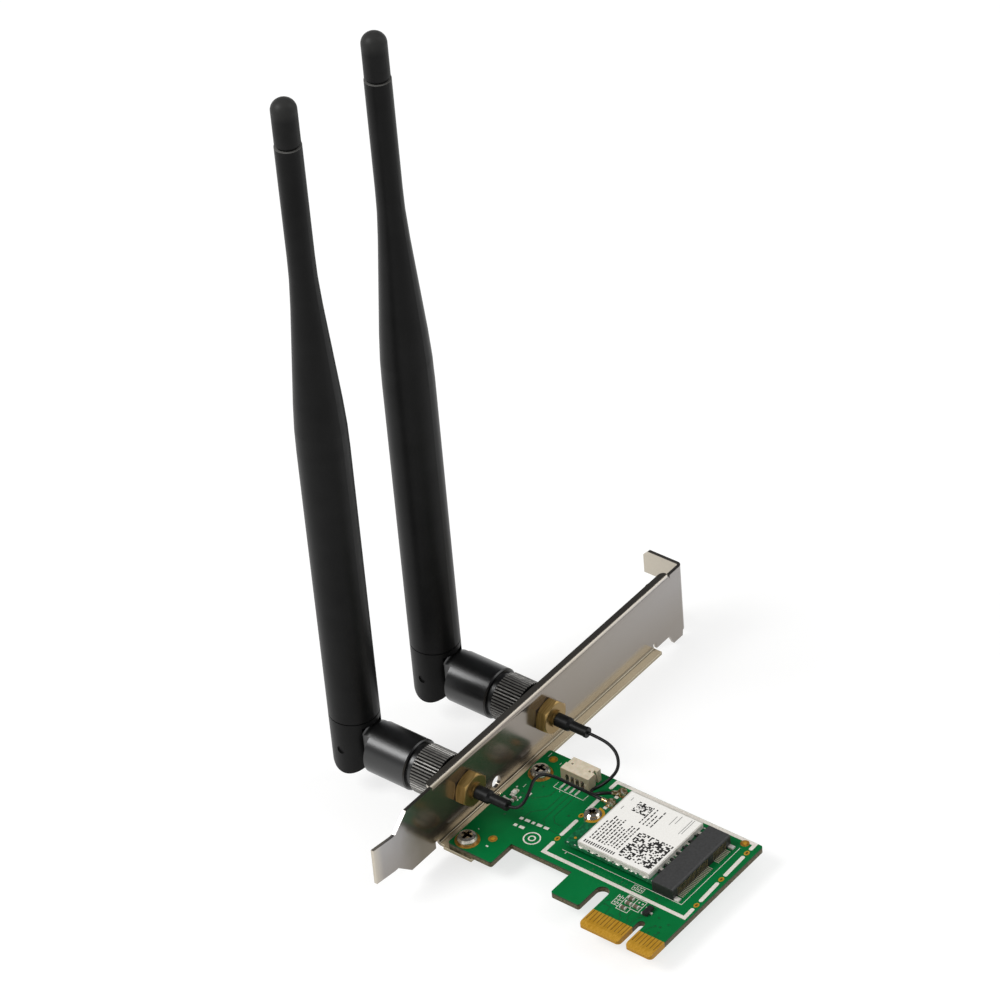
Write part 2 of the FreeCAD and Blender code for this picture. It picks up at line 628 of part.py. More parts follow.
def make_bracket():
    """The folded bracket: plate, tongue, board flange with two lugs, outer lip and screw tab"""
    body = new_body("bracket_body")
    tip = s.bracket_rise - s.bracket_length
    root = tip + s.tongue_length
    shoulder = root + s.shoulder_run
    flange_end = s.flange_start + s.flange_length
    wide = s.bracket_rise - s.end_length
    half_tongue = s.tongue_width / 2
    outer = s.fold_inside + s.gauge
    arm = outer + s.gauge
    relief_top = plate_low + s.relief_rise
    lip_end = s.lip_start + s.lip_length
    fold_start = s.bracket_rise - outer
    plate = outline(body, "YZ_Plane", plate_out, [
        (root, plate_mid - half_tongue),
        (shoulder, plate_low),
        (s.flange_start - s.relief_width, plate_low),
        (s.flange_start - s.relief_width, relief_top),
        (flange_end + s.relief_width, relief_top),
        (flange_end + s.relief_width, plate_low),
        (wide - s.end_slope, plate_low),
        (wide, end_low),
        (s.bracket_rise - s.end_chamfer, end_low),
        (fold_start, end_low + s.end_chamfer),
        (fold_start, plate_high),
        (lip_end, plate_high),
        (lip_end, plate_high - outer),
        (s.lip_start, plate_high - outer),
        (s.lip_start, plate_high),
        (shoulder, plate_high),
        (root, plate_mid + half_tongue),
    ])
    pad(body, plate, s.gauge)
    # the tongue stands out a little towards its tip
    bend = root - s.tongue_length / 6
    tongue = outline(body, "XY_Plane", plate_mid - half_tongue, [
        (plate_out, root),
        (plate_out, bend),
        (plate_out - s.tongue_jog, tip),
        (plate_in - s.tongue_jog, tip),
        (plate_in, bend),
        (plate_in, root),
    ])
    pad(body, tongue, s.tongue_width)
    # board flange, folded inward along the lower edge
    fold(body, "XZ_Plane", -flange_end, s.flange_length, (plate_out, plate_low),
         s.gauge + s.flange_depth, arm)
    # two lugs reach from it under the board
    flange_in = plate_in + s.flange_depth
    lug_in = s.lug_reach - s.board_reach
    half_lug = s.lug_width / 2
    for screw_y in screw_ys:
        lug = outline(body, "XY_Plane", plate_low, [
            (flange_in - s.gauge, screw_y - half_lug),
            (lug_in, screw_y - half_lug),
            (lug_in, screw_y + half_lug),
            (flange_in - s.gauge, screw_y + half_lug),
        ])
        pad(body, lug, s.gauge)
    # outer lip, folded outward along the upper edge
    lip_out = plate_in - s.lip_depth
    fold(body, "XZ_Plane", -lip_end, s.lip_length, (plate_in, plate_high),
         -s.lip_depth, -arm)
    # screw tab, folded outward at the top end
    tab_out = plate_in - s.tab_depth
    tab_low = end_low + s.end_chamfer
    fold(body, "XY_Plane", tab_low, plate_high - tab_low, (plate_in, s.bracket_rise),
         -s.tab_depth, -arm)

    def lip_corner(edge):
        return straight_along(edge, "z") and near(edge.BoundBox.XMin, lip_out)

    def tab_corner(edge):
        return straight_along(edge, "y") and near(edge.BoundBox.XMin, tab_out)

    soften(body, "Fillet", s.lip_round, lip_corner)
    soften(body, "Chamfer", s.tab_chamfer, tab_corner)

    # holes: jacks, light, board screws, and the slot in the screw tab
    jacks = circles(body, "YZ_Plane", plate_in, hole_radius, [(y, jack_z) for y in jack_ys])
    pocket(body, jacks, s.gauge)
    light_z = board_face + s.led_hole_lift
    light = circles(body, "YZ_Plane", plate_in, s.led_hole_radius, [(s.led_y, light_z)])
    pocket(body, light, s.gauge)
    tapped = s.screw_radius + s.thread_fit
    taps = circles(body, "XY_Plane", board_low, tapped, [(screw_x, y) for y in screw_ys])
    pocket(body, taps, s.gauge)
    half_slot = s.screw_slot_width / 2
    slot_end = tab_out + s.screw_slot_depth
    slot = outline(body, "XZ_Plane", -s.bracket_rise + s.gauge, [
        (tab_out - s.gauge, plate_mid - half_slot),
        (slot_end, plate_mid - half_slot),
        (slot_end, plate_mid + half_slot),
        (tab_out - s.gauge, plate_mid + half_slot),
    ])
    pocket(body, slot, s.gauge)
    round_end = circles(body, "XZ_Plane", -s.bracket_rise + s.gauge, half_slot,
                        [(slot_end, plate_mid)])
    pocket(body, round_end, s.gauge)
    return node("bracket", body)


def make_board():
    """The circuit board with its ear, notches, key slot and bevelled finger edge"""
    body = new_body("board_body")
    half_key = s.key_width / 2
    slot_round = (s.slot_far - s.tab_long_reach) / 2
    slot_mid = -s.tab_long_reach - slot_round
    edge = outline(body, "XY_Plane", board_low, [
        (-s.board_reach, s.ear_rise),
        (-s.notch_far, s.ear_rise),
        (-s.notch_far, s.notch_rise),
        (-s.notch_near, s.notch_rise),
        (-s.notch_near, s.block_rise),
        (-s.slot_far, s.block_rise),
        (-s.slot_far, s.slot_rise - slot_round),
        (-s.tab_long_reach, s.slot_rise - slot_round),
        (-s.tab_long_reach, 0),
        (-half_key, 0),
        (-half_key, s.key_rise - half_key),
        (half_key, s.key_rise - half_key),
        (half_key, 0),
        (s.tab_short_reach, 0),
        (s.tab_short_reach, s.board_rise),
        (-s.board_reach, s.board_rise),
    ])
    pad(body, edge, s.board_thick)

    def outer_corner(edge):
        span = edge.BoundBox
        left = near(span.XMin, -s.board_reach)
        far = near(span.XMin, s.tab_short_reach) and near(span.YMin, s.board_rise)
        ear = near(span.XMin, -s.notch_far) and near(span.YMin, s.ear_rise)
        block = near(span.YMin, s.block_rise)
        return straight_along(edge, "z") and (left or far or ear or block)

    def tab_corner(edge):
        return straight_along(edge, "z") and near(edge.BoundBox.YMin, 0)

    soften(body, "Fillet", s.board_round, outer_corner)
    soften(body, "Fillet", s.tab_round, tab_corner)
    # the round ends of the key notch and of the narrow slot
    key_end = circles(body, "XY_Plane", board_face, half_key, [(0, s.key_rise - half_key)])
    pocket(body, key_end, s.board_thick)
    slot_end = circles(body, "XY_Plane", board_face, slot_round,
                       [(slot_mid, s.slot_rise - slot_round)])
    pocket(body, slot_end, s.board_thick)
    hole = s.screw_radius + s.screw_clearance
    holes = circles(body, "XY_Plane", board_face, hole, [(screw_x, y) for y in screw_ys])
    pocket(body, holes, s.board_thick)
    # the bevel that leads the fingers into their slot, on both faces
    for face in (board_face, board_low):
        side = 1 if face is board_face else -1
        wedge = outline(body, "YZ_Plane", s.tab_short_reach, [
            (0, face - side * s.bevel_depth),
            (s.bevel_rise, face),
            (s.bevel_rise, face + side * s.bevel_depth),
            (-s.bevel_rise, face + side * s.bevel_depth),
            (-s.bevel_rise, face - side * s.bevel_depth),
        ])
        pocket(body, wedge, s.tab_short_reach + s.tab_long_reach)
    return node("board", body)


def make_fingers():
    """Gold fingers: on each tab and face one plated field, split by gap lines above its tip"""
    fields = []
    half_key = s.key_width / 2
    spans = ((-s.tab_long_reach, s.tab_long_reach - half_key, int(s.long_pitches.value)),
             (half_key, s.tab_short_reach - half_key, int(s.short_pitches.value)))
    for start, width, gaps in spans:
        for side in (1, -1):
            name = "field_%d_%d" % (gaps, (side + 1) // 2)
            body = new_body(name)
            inner = size_of(side) * board_face
            outer = size_of(side) * (board_face + s.plating)
            inner_tip = inner - side * s.bevel_depth
            outer_tip = outer - side * s.bevel_depth
            section = outline(body, "YZ_Plane", start, [
                (0, inner_tip),
                (s.bevel_rise, inner),
                (s.contact_rise, inner),
                (s.contact_rise, outer),
                (s.bevel_rise, outer),
                (0, outer_tip),
            ])
            pad(body, section, width)
            cutters = []
            margin = (width - gaps * s.contact_pitch) / 2
            for k in range(gaps + 1):
                gap_x = start + margin + k * s.contact_pitch - s.contact_gap / 2
                low = (gap_x, s.contact_rise - s.contact_split, inner - s.plating * 2)
                size = (s.contact_gap, s.contact_split * 2, s.plating * 4)
                cutters.append(box("%s_gap_%d" % (name, k), low, size))
            split = cut(name + "_split", body, group(name + "_gaps", cutters))
            shape = new_body(name + "_tab")
            form = outline(shape, "XY_Plane", -s.board_thick, [
                (start, 0),
                (start + width, 0),
                (start + width, s.contact_rise * 2),
                (start, s.contact_rise * 2),
            ])
            pad(shape, form, s.board_thick * 2)
            soften(shape, "Fillet", s.tab_round,
                   lambda edge: straight_along(edge, "z") and near(edge.BoundBox.YMin, 0))
            fields.append(common(name + "_round", split, shape))
    return node("edge_contacts", group("edge_contact_fields", fields))


def make_pads():
    """Gold rings round the board screws and bare round pads"""
    pads = []
    hole = s.screw_radius + s.screw_clearance
    for count, y in enumerate(screw_ys):
        start = (screw_x, y, board_face)
        disc = rod("ring_%d" % count, "z", start, s.ring_radius, s.plating)
        bore = rod("ring_bore_%d" % count, "z", start, hole, s.plating)
        pads.append(cut("ring_%d" % count, disc, bore))
    spots = ((s.dot_inset - s.board_reach, s.board_rise - s.dot_drop, s.dot_radius),
             (s.ear_dot_inset - s.board_reach, s.ear_rise + s.ear_dot_rise, s.dot_radius),
             (s.tab_short_reach - s.far_dot_inset, s.board_rise - s.far_dot_drop, s.dot_radius),
             (module_end - s.small_dot_gap, s.module_y - s.small_dot_drop, s.small_dot_radius))
    for count, (x, y, radius) in enumerate(spots):
        pads.append(rod("dot_%d" % count, "z", (x, y, board_face), radius, s.plating))
    return node("board_pads", group("board_pad_discs", pads))


def cross_recess(name, x, y, top, length):
    """The two crossed arms of a driver recess"""
    low = top - s.recess_depth
    half = length / 2
    half_width = s.recess_width / 2
    along = box(name + "_along", (x - half, y - half_width, low),
                (length, s.recess_width, s.recess_depth * 2))
    across = box(name + "_across", (x - half_width, y - half, low),
                 (s.recess_width, length, s.recess_depth * 2))
    return fuse(name, along, across)


def make_board_screws():
    """Two pan-head screws through the board into the bracket's lugs"""
    screws = []
    seat = board_face + s.plating
    end = plate_low - s.screw_end
    top = seat + s.screw_head_height
    for count, y in enumerate(screw_ys):
        name = "board_screw_%d" % count
        body = new_body(name, screw_x, y, 0)
        turn(body, [
            (0, end),
            (s.screw_radius, end),
            (s.screw_radius, seat),
            (s.screw_head_radius, seat),
            (s.screw_head_radius, seat + s.screw_head_height * 0.45),
            (s.screw_head_radius * 0.86, seat + s.screw_head_height * 0.82),
            (s.screw_head_radius * 0.55, top),
            (0, top),
        ], "XZ_Plane", "V_Axis")
        recess = cross_recess(name + "_recess", screw_x, y, top, s.recess_length)
        screws.append(cut(name, body, recess))
    return node("board_screws", group("board_screw_pair", screws))


def make_module():
    """The plug-in radio module with its shield can, label, receptacles and small parts"""
    half = s.module_width / 2
    slab = box("module_slab", (module_end, s.module_y - half, module_low),
               (s.module_length, s.module_width, s.module_thick))
    seat = rod("module_seat", "z", (module_end, s.module_y, module_low - s.module_thick),
               s.module_hole_radius, s.module_thick * 3)
    node("module_board", cut("module_board", slab, seat))

    shield_x = module_end + s.shield_inset
    half_shield = s.shield_width / 2
    shell = new_body("shield_body")
    rim = outline(shell, "XY_Plane", module_face, [
        (shield_x, s.module_y - half_shield),
        (shield_x + s.shield_length, s.module_y - half_shield),
        (shield_x + s.shield_length, s.module_y + half_shield),
        (shield_x, s.module_y + half_shield),
    ])
    pad(shell, rim, s.shield_height)
    soften(shell, "Fillet", s.shield_round, lambda edge: straight_along(edge, "z"))
    inner_x = shield_x + s.shield_wall
    inner_half = half_shield - s.shield_wall
    inner_length = s.shield_length - s.shield_wall
    hollow = outline(shell, "XY_Plane", module_face + s.shield_height - s.shield_wall, [
        (inner_x, s.module_y - inner_half),
        (shield_x + inner_length, s.module_y - inner_half),
        (shield_x + inner_length, s.module_y + inner_half),
        (inner_x, s.module_y + inner_half),
    ])
    pocket(shell, hollow, s.shield_height - s.shield_wall)
    # notches along the foot of all four walls
    notches = []
    low_z = module_face - s.notch_height
    for side in (-1, 1):
        wall_y = s.module_y + side * (half_shield - s.shield_wall / 2) - s.shield_wall
        wall_x = shield_x + s.shield_length / 2 - s.shield_wall
        wall_x = wall_x + side * (s.shield_length - s.shield_wall) / 2
        for k in range(-3, 4):
            x = shield_x + s.shield_length / 2 + k * s.notch_pitch - s.notch_width / 2
            y = s.module_y + k * s.notch_pitch - s.notch_width / 2
            name = "shield_notch_%d_%d" % (side + 1, k + 3)
            notches.append(box(name + "_x", (x, wall_y, low_z),
                               (s.notch_width, s.shield_wall * 2, s.notch_height * 2)))
            notches.append(box(name + "_y", (wall_x, y, low_z),
                               (s.shield_wall * 2, s.notch_width, s.notch_height * 2)))
    node("module_shield", cut("module_shield", shell, group("shield_notches", notches)))

    shield_top = module_face + s.shield_height
    label = box("label_sheet",
                (shield_x + s.label_inset, s.module_y - half_shield + s.label_inset, shield_top),
                (s.shield_length - s.label_inset * 2, s.shield_width - s.label_inset * 2,
                 s.label_thick))
    node("module_label", label)

    # radio chips under the shield
    chips = []
    for count, (along, across, side) in enumerate(((0.3, 0.0, 7.0), (0.72, 0.22, 4.5),
                                                   (0.72, -0.22, 4.0))):
        x = shield_x + s.shield_length * along - side / 2
        y = s.module_y + s.shield_width * across - side / 2
        chips.append(box("radio_chip_%d" % count, (x, y, module_face),
                         (size_of(side), size_of(side), s.chip_lift)))
    node("radio_chips", group("radio_chip_set", chips))

    # a line of small parts on the open strip between shield and socket
    parts = []
    strip_x = shield_x + s.shield_length + s.chip_width * 0.35
    for k in range(7):
        y = s.module_y + (k - 3) * s.chip_length * 1.55 - s.chip_width / 2
        parts.append(box("module_chip_%d" % k, (strip_x, y, module_face),
                         (s.chip_width * 0.7, s.chip_width, s.chip_height * 0.7)))
    node("module_chips", group("module_chip_row", parts))

    # receptacles for the two lead plugs
    sockets = []
    base_top = module_face + s.receptacle_base
    for count, y in enumerate(plug_ys):
        name = "receptacle_%d" % count
        half_side = s.receptacle_side / 2
        foot = box(name + "_foot", (plug_x - half_side, y - half_side, module_face),
                   (s.receptacle_side, s.receptacle_side, s.receptacle_base))
        ring = rod(name + "_ring", "z", (plug_x, y, module_face), s.receptacle_radius,
                   s.receptacle_base + s.plug_height * 0.6)
        well = rod(name + "_well", "z", (plug_x, y, base_top), s.receptacle_radius * 0.72,
                   s.plug_height)
        sockets.append(cut(name, fuse(name + "_solid", foot, ring), well))
    node("module_receptacles", group("module_receptacle_pair", sockets))


def make_module_fixing():
    """The soldered nut and the screw that hold the module's free end"""
    standoff = new_body("standoff_body", module_end, s.module_y, 0)
    bore = s.module_screw_radius + s.thread_fit
    turn(standoff, [
        (bore, board_face),
        (s.standoff_radius, board_face),
        (s.standoff_radius, module_low),
        (s.module_hole_radius - s.core_fit * 2, module_low),
        (s.module_hole_radius - s.core_fit * 2, module_face - s.module_thick * 0.3),
        (bore, module_face - s.module_thick * 0.3),
    ], "XZ_Plane", "V_Axis")
    node("module_standoff", standoff)

    top = module_face + s.module_head_height
    body = new_body("module_screw_body", module_end, s.module_y, 0)
    washer = s.module_head_radius * 1.25
    turn(body, [
        (0, board_face + s.screw_clearance),
        (s.module_screw_radius, board_face + s.screw_clearance),
        (s.module_screw_radius, module_face),
        (washer, module_face),
        (washer, module_face + s.module_head_height * 0.2),
        (s.module_head_radius, module_face + s.module_head_height * 0.2),
        (s.module_head_radius, module_face + s.module_head_height * 0.7),
        (s.module_head_radius * 0.8, top),
        (0, top),
    ], "XZ_Plane", "V_Axis")
    recess = cross_recess("module_recess", module_end, s.module_y,
                          top + s.recess_depth * 0.4, s.module_recess_length)
    node("module_screw", cut("module_screw", body, recess))


def pin_places():
    """The Y places of the socket's contacts, with the key gap left out"""
    places = []
    count = int(s.pin_count.value)
    key = int(s.pin_key_start.value)
    for k in range(count):
        step = k
        if k >= key:
            step = k + s.pin_key_count
        span = (s.pin_count + s.pin_key_count - 1) / 2
        places.append(s.module_y + (step - span) * s.pin_pitch)
    return places


def make_socket():
    """The module's edge socket: housing with a contact comb, contacts and hold-downs"""
    front = -s.socket_front
    back = front + s.socket_depth
    half = s.socket_length / 2
    body = new_body("socket_body")
    side = outline(body, "XZ_Plane", -(s.module_y + half), [
        (front, board_face),
        (back, board_face),
        (back, board_face + s.pin_rise),
        (front + s.socket_roof, board_face + s.socket_height - s.pin_thick),
        (front + s.socket_roof - s.pin_thick, board_face + s.socket_height),
        (front, board_face + s.socket_height),
    ])
    pad(body, side, s.socket_length)
    mouth_half = s.module_width / 2 + s.socket_mouth
    mouth_depth = s.module_length - s.module_far + s.socket_front + s.socket_mouth
    mouth = outline(body, "YZ_Plane", front + mouth_depth, [
        (s.module_y - mouth_half, module_low - s.socket_mouth),
        (s.module_y + mouth_half, module_low - s.socket_mouth),
        (s.module_y + mouth_half, module_face + s.socket_mouth),
        (s.module_y - mouth_half, module_face + s.socket_mouth),
    ])
    pocket(body, mouth, mouth_depth)

    places = pin_places()
    groove_width = s.pin_width + s.core_fit * 2
    grooves = []
    for count, y in enumerate(places):
        grooves.append(box("socket_groove_%d" % count,
                           (back - s.comb_depth, y - groove_width / 2, board_face),
                           (s.comb_depth * 2, groove_width, s.pin_rise - s.pin_thick)))
    node("socket_housing", cut("socket_housing", body, group("socket_grooves", grooves)))

    contacts = []
    for count, y in enumerate(places):
        name = "socket_pin_%d" % count
        low_x = back - s.comb_depth
        foot = box(name + "_foot", (low_x, y - s.pin_width / 2, board_face),
                   (s.comb_depth + s.pin_foot, s.pin_width, s.pin_thick))
        riser = box(name + "_riser", (low_x, y - s.pin_width / 2, board_face),
                    (s.pin_thick, s.pin_width, s.pin_rise - s.pin_thick))
        contacts.append(fuse(name, foot, riser))
    node("socket_contacts", group("socket_contact_row", contacts))

    holds = []
    for count, side_sign in enumerate((-1, 1)):
        middle = s.module_y + side_sign * (half - s.hold_inset - s.hold_width / 2)
        holds.append(box("hold_down_%d" % count, (back, middle - s.hold_width / 2, board_face),
                         (s.hold_reach, s.hold_width, s.pin_thick * 3)))
    node("socket_hold_downs", group("socket_hold_down_pair", holds))


def make_header():
    """The side-entry header beside the bracket, open towards the board's far edge"""
    middle = s.header_inset - s.board_reach
    left = middle - s.header_width / 2
    right = middle + s.header_width / 2
    shell = box("header_shell", (left, s.header_y, board_face),
                (s.header_width, s.header_depth, s.header_height))
    inner_width = s.header_width - s.header_wall * 2
    cavity = box("header_cavity",
                 (left + s.header_wall, s.header_y + s.header_wall * 1.6,
                  board_face + s.header_wall),
                 (inner_width, s.header_depth, s.header_height - s.header_wall * 2))
    cuts = [cavity]
    # holes in the roof, windows over the pins and the recess for the side solder tab
    for sign in (-1, 1):
        x = middle + sign * s.header_width * 0.31 - s.roof_hole / 2
        cuts.append(box("roof_hole_%d" % (sign + 1),
                        (x, s.header_y + s.header_depth * 0.5, board_face + s.header_height / 2),
                        (s.roof_hole, s.roof_hole, s.header_height)))
    pins = []
    pin_z = board_face + s.header_height * 0.5
    for k in range(4):
        pin_x = middle + (k - 1.5) * s.header_pitch
        x = pin_x - s.header_pin / 2
        cuts.append(box("pin_window_%d" % k,
                        (pin_x - s.window_width / 2, s.header_y - s.header_wall, board_face),
                        (s.window_width, s.header_wall * 1.8, s.window_height)))
        blade = box("pin_blade_%d" % k,
                    (x, s.header_y, pin_z),
                    (s.header_pin, s.header_depth * 0.8, s.header_pin))
        drop = box("pin_drop_%d" % k, (x, s.header_y, board_face),
                   (s.header_pin, s.header_pin, s.header_height * 0.5 + s.header_pin))
        foot = box("pin_foot_%d" % k, (x, s.header_y - s.header_foot, board_face),
                   (s.header_pin, s.header_foot + s.header_pin, s.pin_thick))
        pins.append(fuse("header_pin_%d" % k, blade, drop, foot))
    # slot in one side for the solder tab, step in the other
    cuts.append(box("header_side_slot",
                    (right - s.side_slot_depth, s.header_y + s.header_depth * 0.55, board_face),
                    (s.side_slot_depth * 2, s.side_slot_width, s.header_height * 2)))
    cuts.append(box("header_step",
                    (left - s.roof_step, s.header_y + s.header_depth * 0.5, board_face),
                    (s.roof_step * 2, s.header_depth, s.header_height * 2)))
    housing = cut("header_housing", shell, *cuts)
    channel = group("header_pin_channels", pins)
    node("header_housing", cut("header_fitted", housing, channel))
    node("header_pins", group("header_pin_row", pins))


def make_light():
    """The status light behind the bracket's light hole"""
    x = s.led_inset - s.board_reach
    y = s.led_y - s.led_length / 2
    base = box("light_base", (x, y, board_face), (s.led_width, s.led_length, s.led_height / 2))
    lens = box("light_lens", (x, y + s.led_length / 5, board_face + s.led_height / 2),
               (s.led_width, s.led_length * 3 / 5, s.led_height / 2))
    node("status_light", fuse("status_light_solid", base, lens))


def make_chips():
    """The scatter of chip parts, and the three-legged regulator, above the fingers"""
    bodies = []
    ends = []
    # places in the cluster in chip lengths from its middle, and whether the chip lies along X
    cluster = ((-0.1, 1.1, True), (0.1, 0.1, True), (1.45, 0.1, True), (0.0, -1.05, True))
    spots = [(u * s.chip_length - s.cluster_x, v * s.chip_length + s.cluster_y, along)
             for u, v, along in cluster]
    # one more beside the status light
    spots.append((s.led_inset - s.board_reach + s.led_width + s.chip_length / 2,
                  s.led_y - s.chip_length * 1.2, False))
    for count, (x, y, along) in enumerate(spots):
        long_x, long_y = (s.chip_length, s.chip_width) if along else (s.chip_width, s.chip_length)
        core_x = long_x - s.chip_end * 2 if along else long_x
        core_y = long_y if along else long_y - s.chip_end * 2
        bodies.append(box("chip_%d" % count, (x - core_x / 2, y - core_y / 2, board_face),
                          (core_x, core_y, s.chip_height)))
        for sign in (-1, 1):
            if along:
                low = (x + (sign * core_x - s.chip_end) / 2 + sign * s.chip_end / 2,
                       y - long_y / 2, board_face)
                size = (s.chip_end, long_y, s.chip_height)
            else:
                low = (x - long_x / 2,
                       y + (sign * core_y - s.chip_end) / 2 + sign * s.chip_end / 2, board_face)
                size = (long_x, s.chip_end, s.chip_height)
            ends.append(box("chip_end_%d_%d" % (count, sign + 1), low, size))
    node("chip_bodies", group("chip_body_set", bodies))
    node("chip_ends", group("chip_end_set", ends))

    reg_x = -s.regulator_x
    reg_y = s.regulator_y
    half_length = s.regulator_length / 2
    half_width = s.regulator_width / 2
    lift = s.regulator_height * 0.1
    case = box("regulator_case", (reg_x - half_width, reg_y - half_length, board_face + lift),
               (s.regulator_width, s.regulator_length, s.regulator_height - lift))
    node("regulator", case)
    legs = []
    # two legs on the side towards the chips, one on the other
    for sign, column in ((-1, -1), (-1, 1), (1, 0)):
        y = reg_y + column * s.regulator_length * 0.33 - s.regulator_leg / 2
        edge = reg_x + sign * half_width
        low_x = edge if sign > 0 else edge - s.regulator_foot
        legs.append(box("leg_%d_%d" % (sign + 1, column + 1), (low_x, y, board_face),
                        (s.regulator_foot, s.regulator_leg, s.regulator_height * 0.35)))
    node("regulator_legs", group("regulator_leg_set", legs))


def hexagon(body, start, across, thick):
    """A hexagonal prism about the body's X axis"""
    corner = across / math.sqrt(3)
    corners = []
    for k in range(6):
        angle = math.radians(s.hex_turn.value + 60 * k)
        corners.append((corner * math.cos(angle), corner * math.sin(angle)))
    drawing = outline(body, "YZ_Plane", start, corners)
    return pad(body, drawing, thick)


def break_corners(body, face, inward):
    """Turn a hexagon's corners off at one of its end faces"""
    flat = s.hex_across / 2 - s.hex_break
    out = s.hex_across * 0.62
    turn(body, [
        (face, flat),
        (face, out),
        (face + inward * (out - flat) * 0.55, out),
    ], cutting=True)


def make_jack(number, y):
    """One antenna jack with its insulator, centre pin, washer, nut and shrink sleeve"""
    tag = "_%d" % number
    thread_end = plate_in - s.thread_length
    hex_out = plate_in + s.jack_hex_thick
    collar_end = hex_out + s.collar_length
    stub_end = hex_out + s.stub_length
    bore_floor = thread_end + s.jack_bore_depth
    back_wall = hex_out - s.jack_wall
    core_bore = s.core_radius + s.core_fit
    tip = s.thread_radius * 0.08

    body = new_body("jack_body" + tag, 0, y, jack_z)
    turn(body, [
        (thread_end, s.jack_bore_radius),
        (thread_end, s.thread_radius - tip),
        (thread_end + tip, s.thread_radius),
        (plate_in, s.thread_radius),
        (hex_out, s.thread_radius),
        (hex_out, s.collar_radius),
        (collar_end, s.collar_radius),
        (collar_end, s.stub_radius),
        (stub_end, s.stub_radius),
        (stub_end, s.contact_radius + s.core_fit),
        (back_wall, s.contact_radius + s.core_fit),
        (back_wall, core_bore),
        (bore_floor, core_bore),
        (bore_floor, s.jack_bore_radius),
    ])
    # the hexagon leaves the bore open: it is a ring round the turned body
    hexagon(body, plate_in, s.hex_across, s.jack_hex_thick)
    break_corners(body, plate_in, 1)
    break_corners(body, hex_out, -1)
    turn(body, [
        (plate_in - s.jack_wall, 0),
        (back_wall, 0),
        (back_wall, core_bore),
        (plate_in - s.jack_wall, core_bore),
    ], cutting=True)
    turn(body, [
        (back_wall - s.jack_wall, 0),
        (stub_end + s.jack_wall, 0),
        (stub_end + s.jack_wall, s.contact_radius + s.core_fit),
        (back_wall - s.jack_wall, s.contact_radius + s.core_fit),
    ], cutting=True)
    node("jack%s_body" % tag, body)

    core = new_body("jack_core" + tag, 0, y, jack_z)
    turn(core, [
        (bore_floor, s.contact_radius + s.core_fit),
        (bore_floor, s.core_radius),
        (back_wall, s.core_radius),
        (back_wall, s.contact_radius + s.core_fit),
    ])
    node("jack%s_insulator" % tag, core)

    pin = rod("jack_pin" + tag, "x", (bore_floor - s.contact_reach, y, jack_z),
              s.contact_radius, stub_end - bore_floor + s.contact_reach)
    node("jack%s_pin" % tag, pin)

    washer_end = plate_out - s.washer_thick
    ring = new_body("jack_washer" + tag, 0, y, jack_z)
    turn(ring, [
        (washer_end, hole_radius),
        (washer_end, s.washer_radius),
        (plate_out, s.washer_radius),
        (plate_out, hole_radius),
    ])
    node("jack%s_washer" % tag, ring)

    nut = new_body("jack_nut" + tag, 0, y, jack_z)
    hexagon(nut, washer_end - s.jack_nut_thick, s.hex_across, s.jack_nut_thick)
    break_corners(nut, washer_end - s.jack_nut_thick, 1)
    turn(nut, [
        (washer_end - s.jack_nut_thick * 2, 0),
        (plate_out, 0),
        (plate_out, s.thread_radius + s.thread_fit),
        (washer_end - s.jack_nut_thick * 2, s.thread_radius + s.thread_fit),
    ], cutting=True)
    node("jack%s_nut" % tag, nut)

    # the shrink sleeve covers the stub and steps down to the lead
    sleeve = new_body("jack_sleeve" + tag, 0, y, jack_z)
    mid_end = plate_in + s.sleeve_mid_end
    tail_end = plate_in + s.sleeve_end
    bead = s.sleeve_bead
    turn(sleeve, [
        (stub_end, 0),
        (stub_end, s.stub_radius),
        (collar_end, s.stub_radius),
        (collar_end, s.sleeve_radius - bead),
        (collar_end + bead, s.sleeve_radius),
        (mid_end, s.sleeve_radius),
        (mid_end + s.sleeve_taper, s.sleeve_tail_radius),
        (tail_end - s.sleeve_taper, s.sleeve_tail_radius),
        (tail_end - s.sleeve_taper, s.sleeve_tail_radius + bead),
        (tail_end - bead, s.sleeve_tail_radius + bead),
        (tail_end, s.sleeve_tail_radius),
        (tail_end, 0),
    ])
    node("jack%s_sleeve" % tag, sleeve)


def make_plug(number, y, turn_angle):
    """One lead plug: a cap over the module's receptacle and its crimp, turned about the cap"""
    name = "lead_plug_%d" % number
    low = module_face + s.receptacle_base
    crimp_z = module_face + s.crimp_radius + s.plug_fit
    cap = rod(name + "_cap", "z", (plug_x, y, low), s.plug_radius, s.plug_height)
    crimp = rod(name + "_crimp", "x", (plug_x, y, crimp_z), s.crimp_radius, s.crimp_length)
    angle = math.radians(size_of(turn_angle).value)
    away = FreeCAD.Vector(-math.cos(angle), -math.sin(angle), 0)
    crimp.Placement.Rotation = FreeCAD.Rotation(FreeCAD.Vector(0, 0, 1), away)
    well = rod(name + "_well", "z", (plug_x, y, module_face),
               s.receptacle_radius + s.plug_fit, s.receptacle_base + s.plug_height * 0.65)
    foot = box(name + "_foot",
               (plug_x - s.receptacle_side / 2, y - s.receptacle_side / 2, module_face),
               (s.receptacle_side, s.receptacle_side, s.receptacle_base))
    solid = fuse(name + "_solid", cap, crimp)
    node(name, cut(name, solid, well, foot))


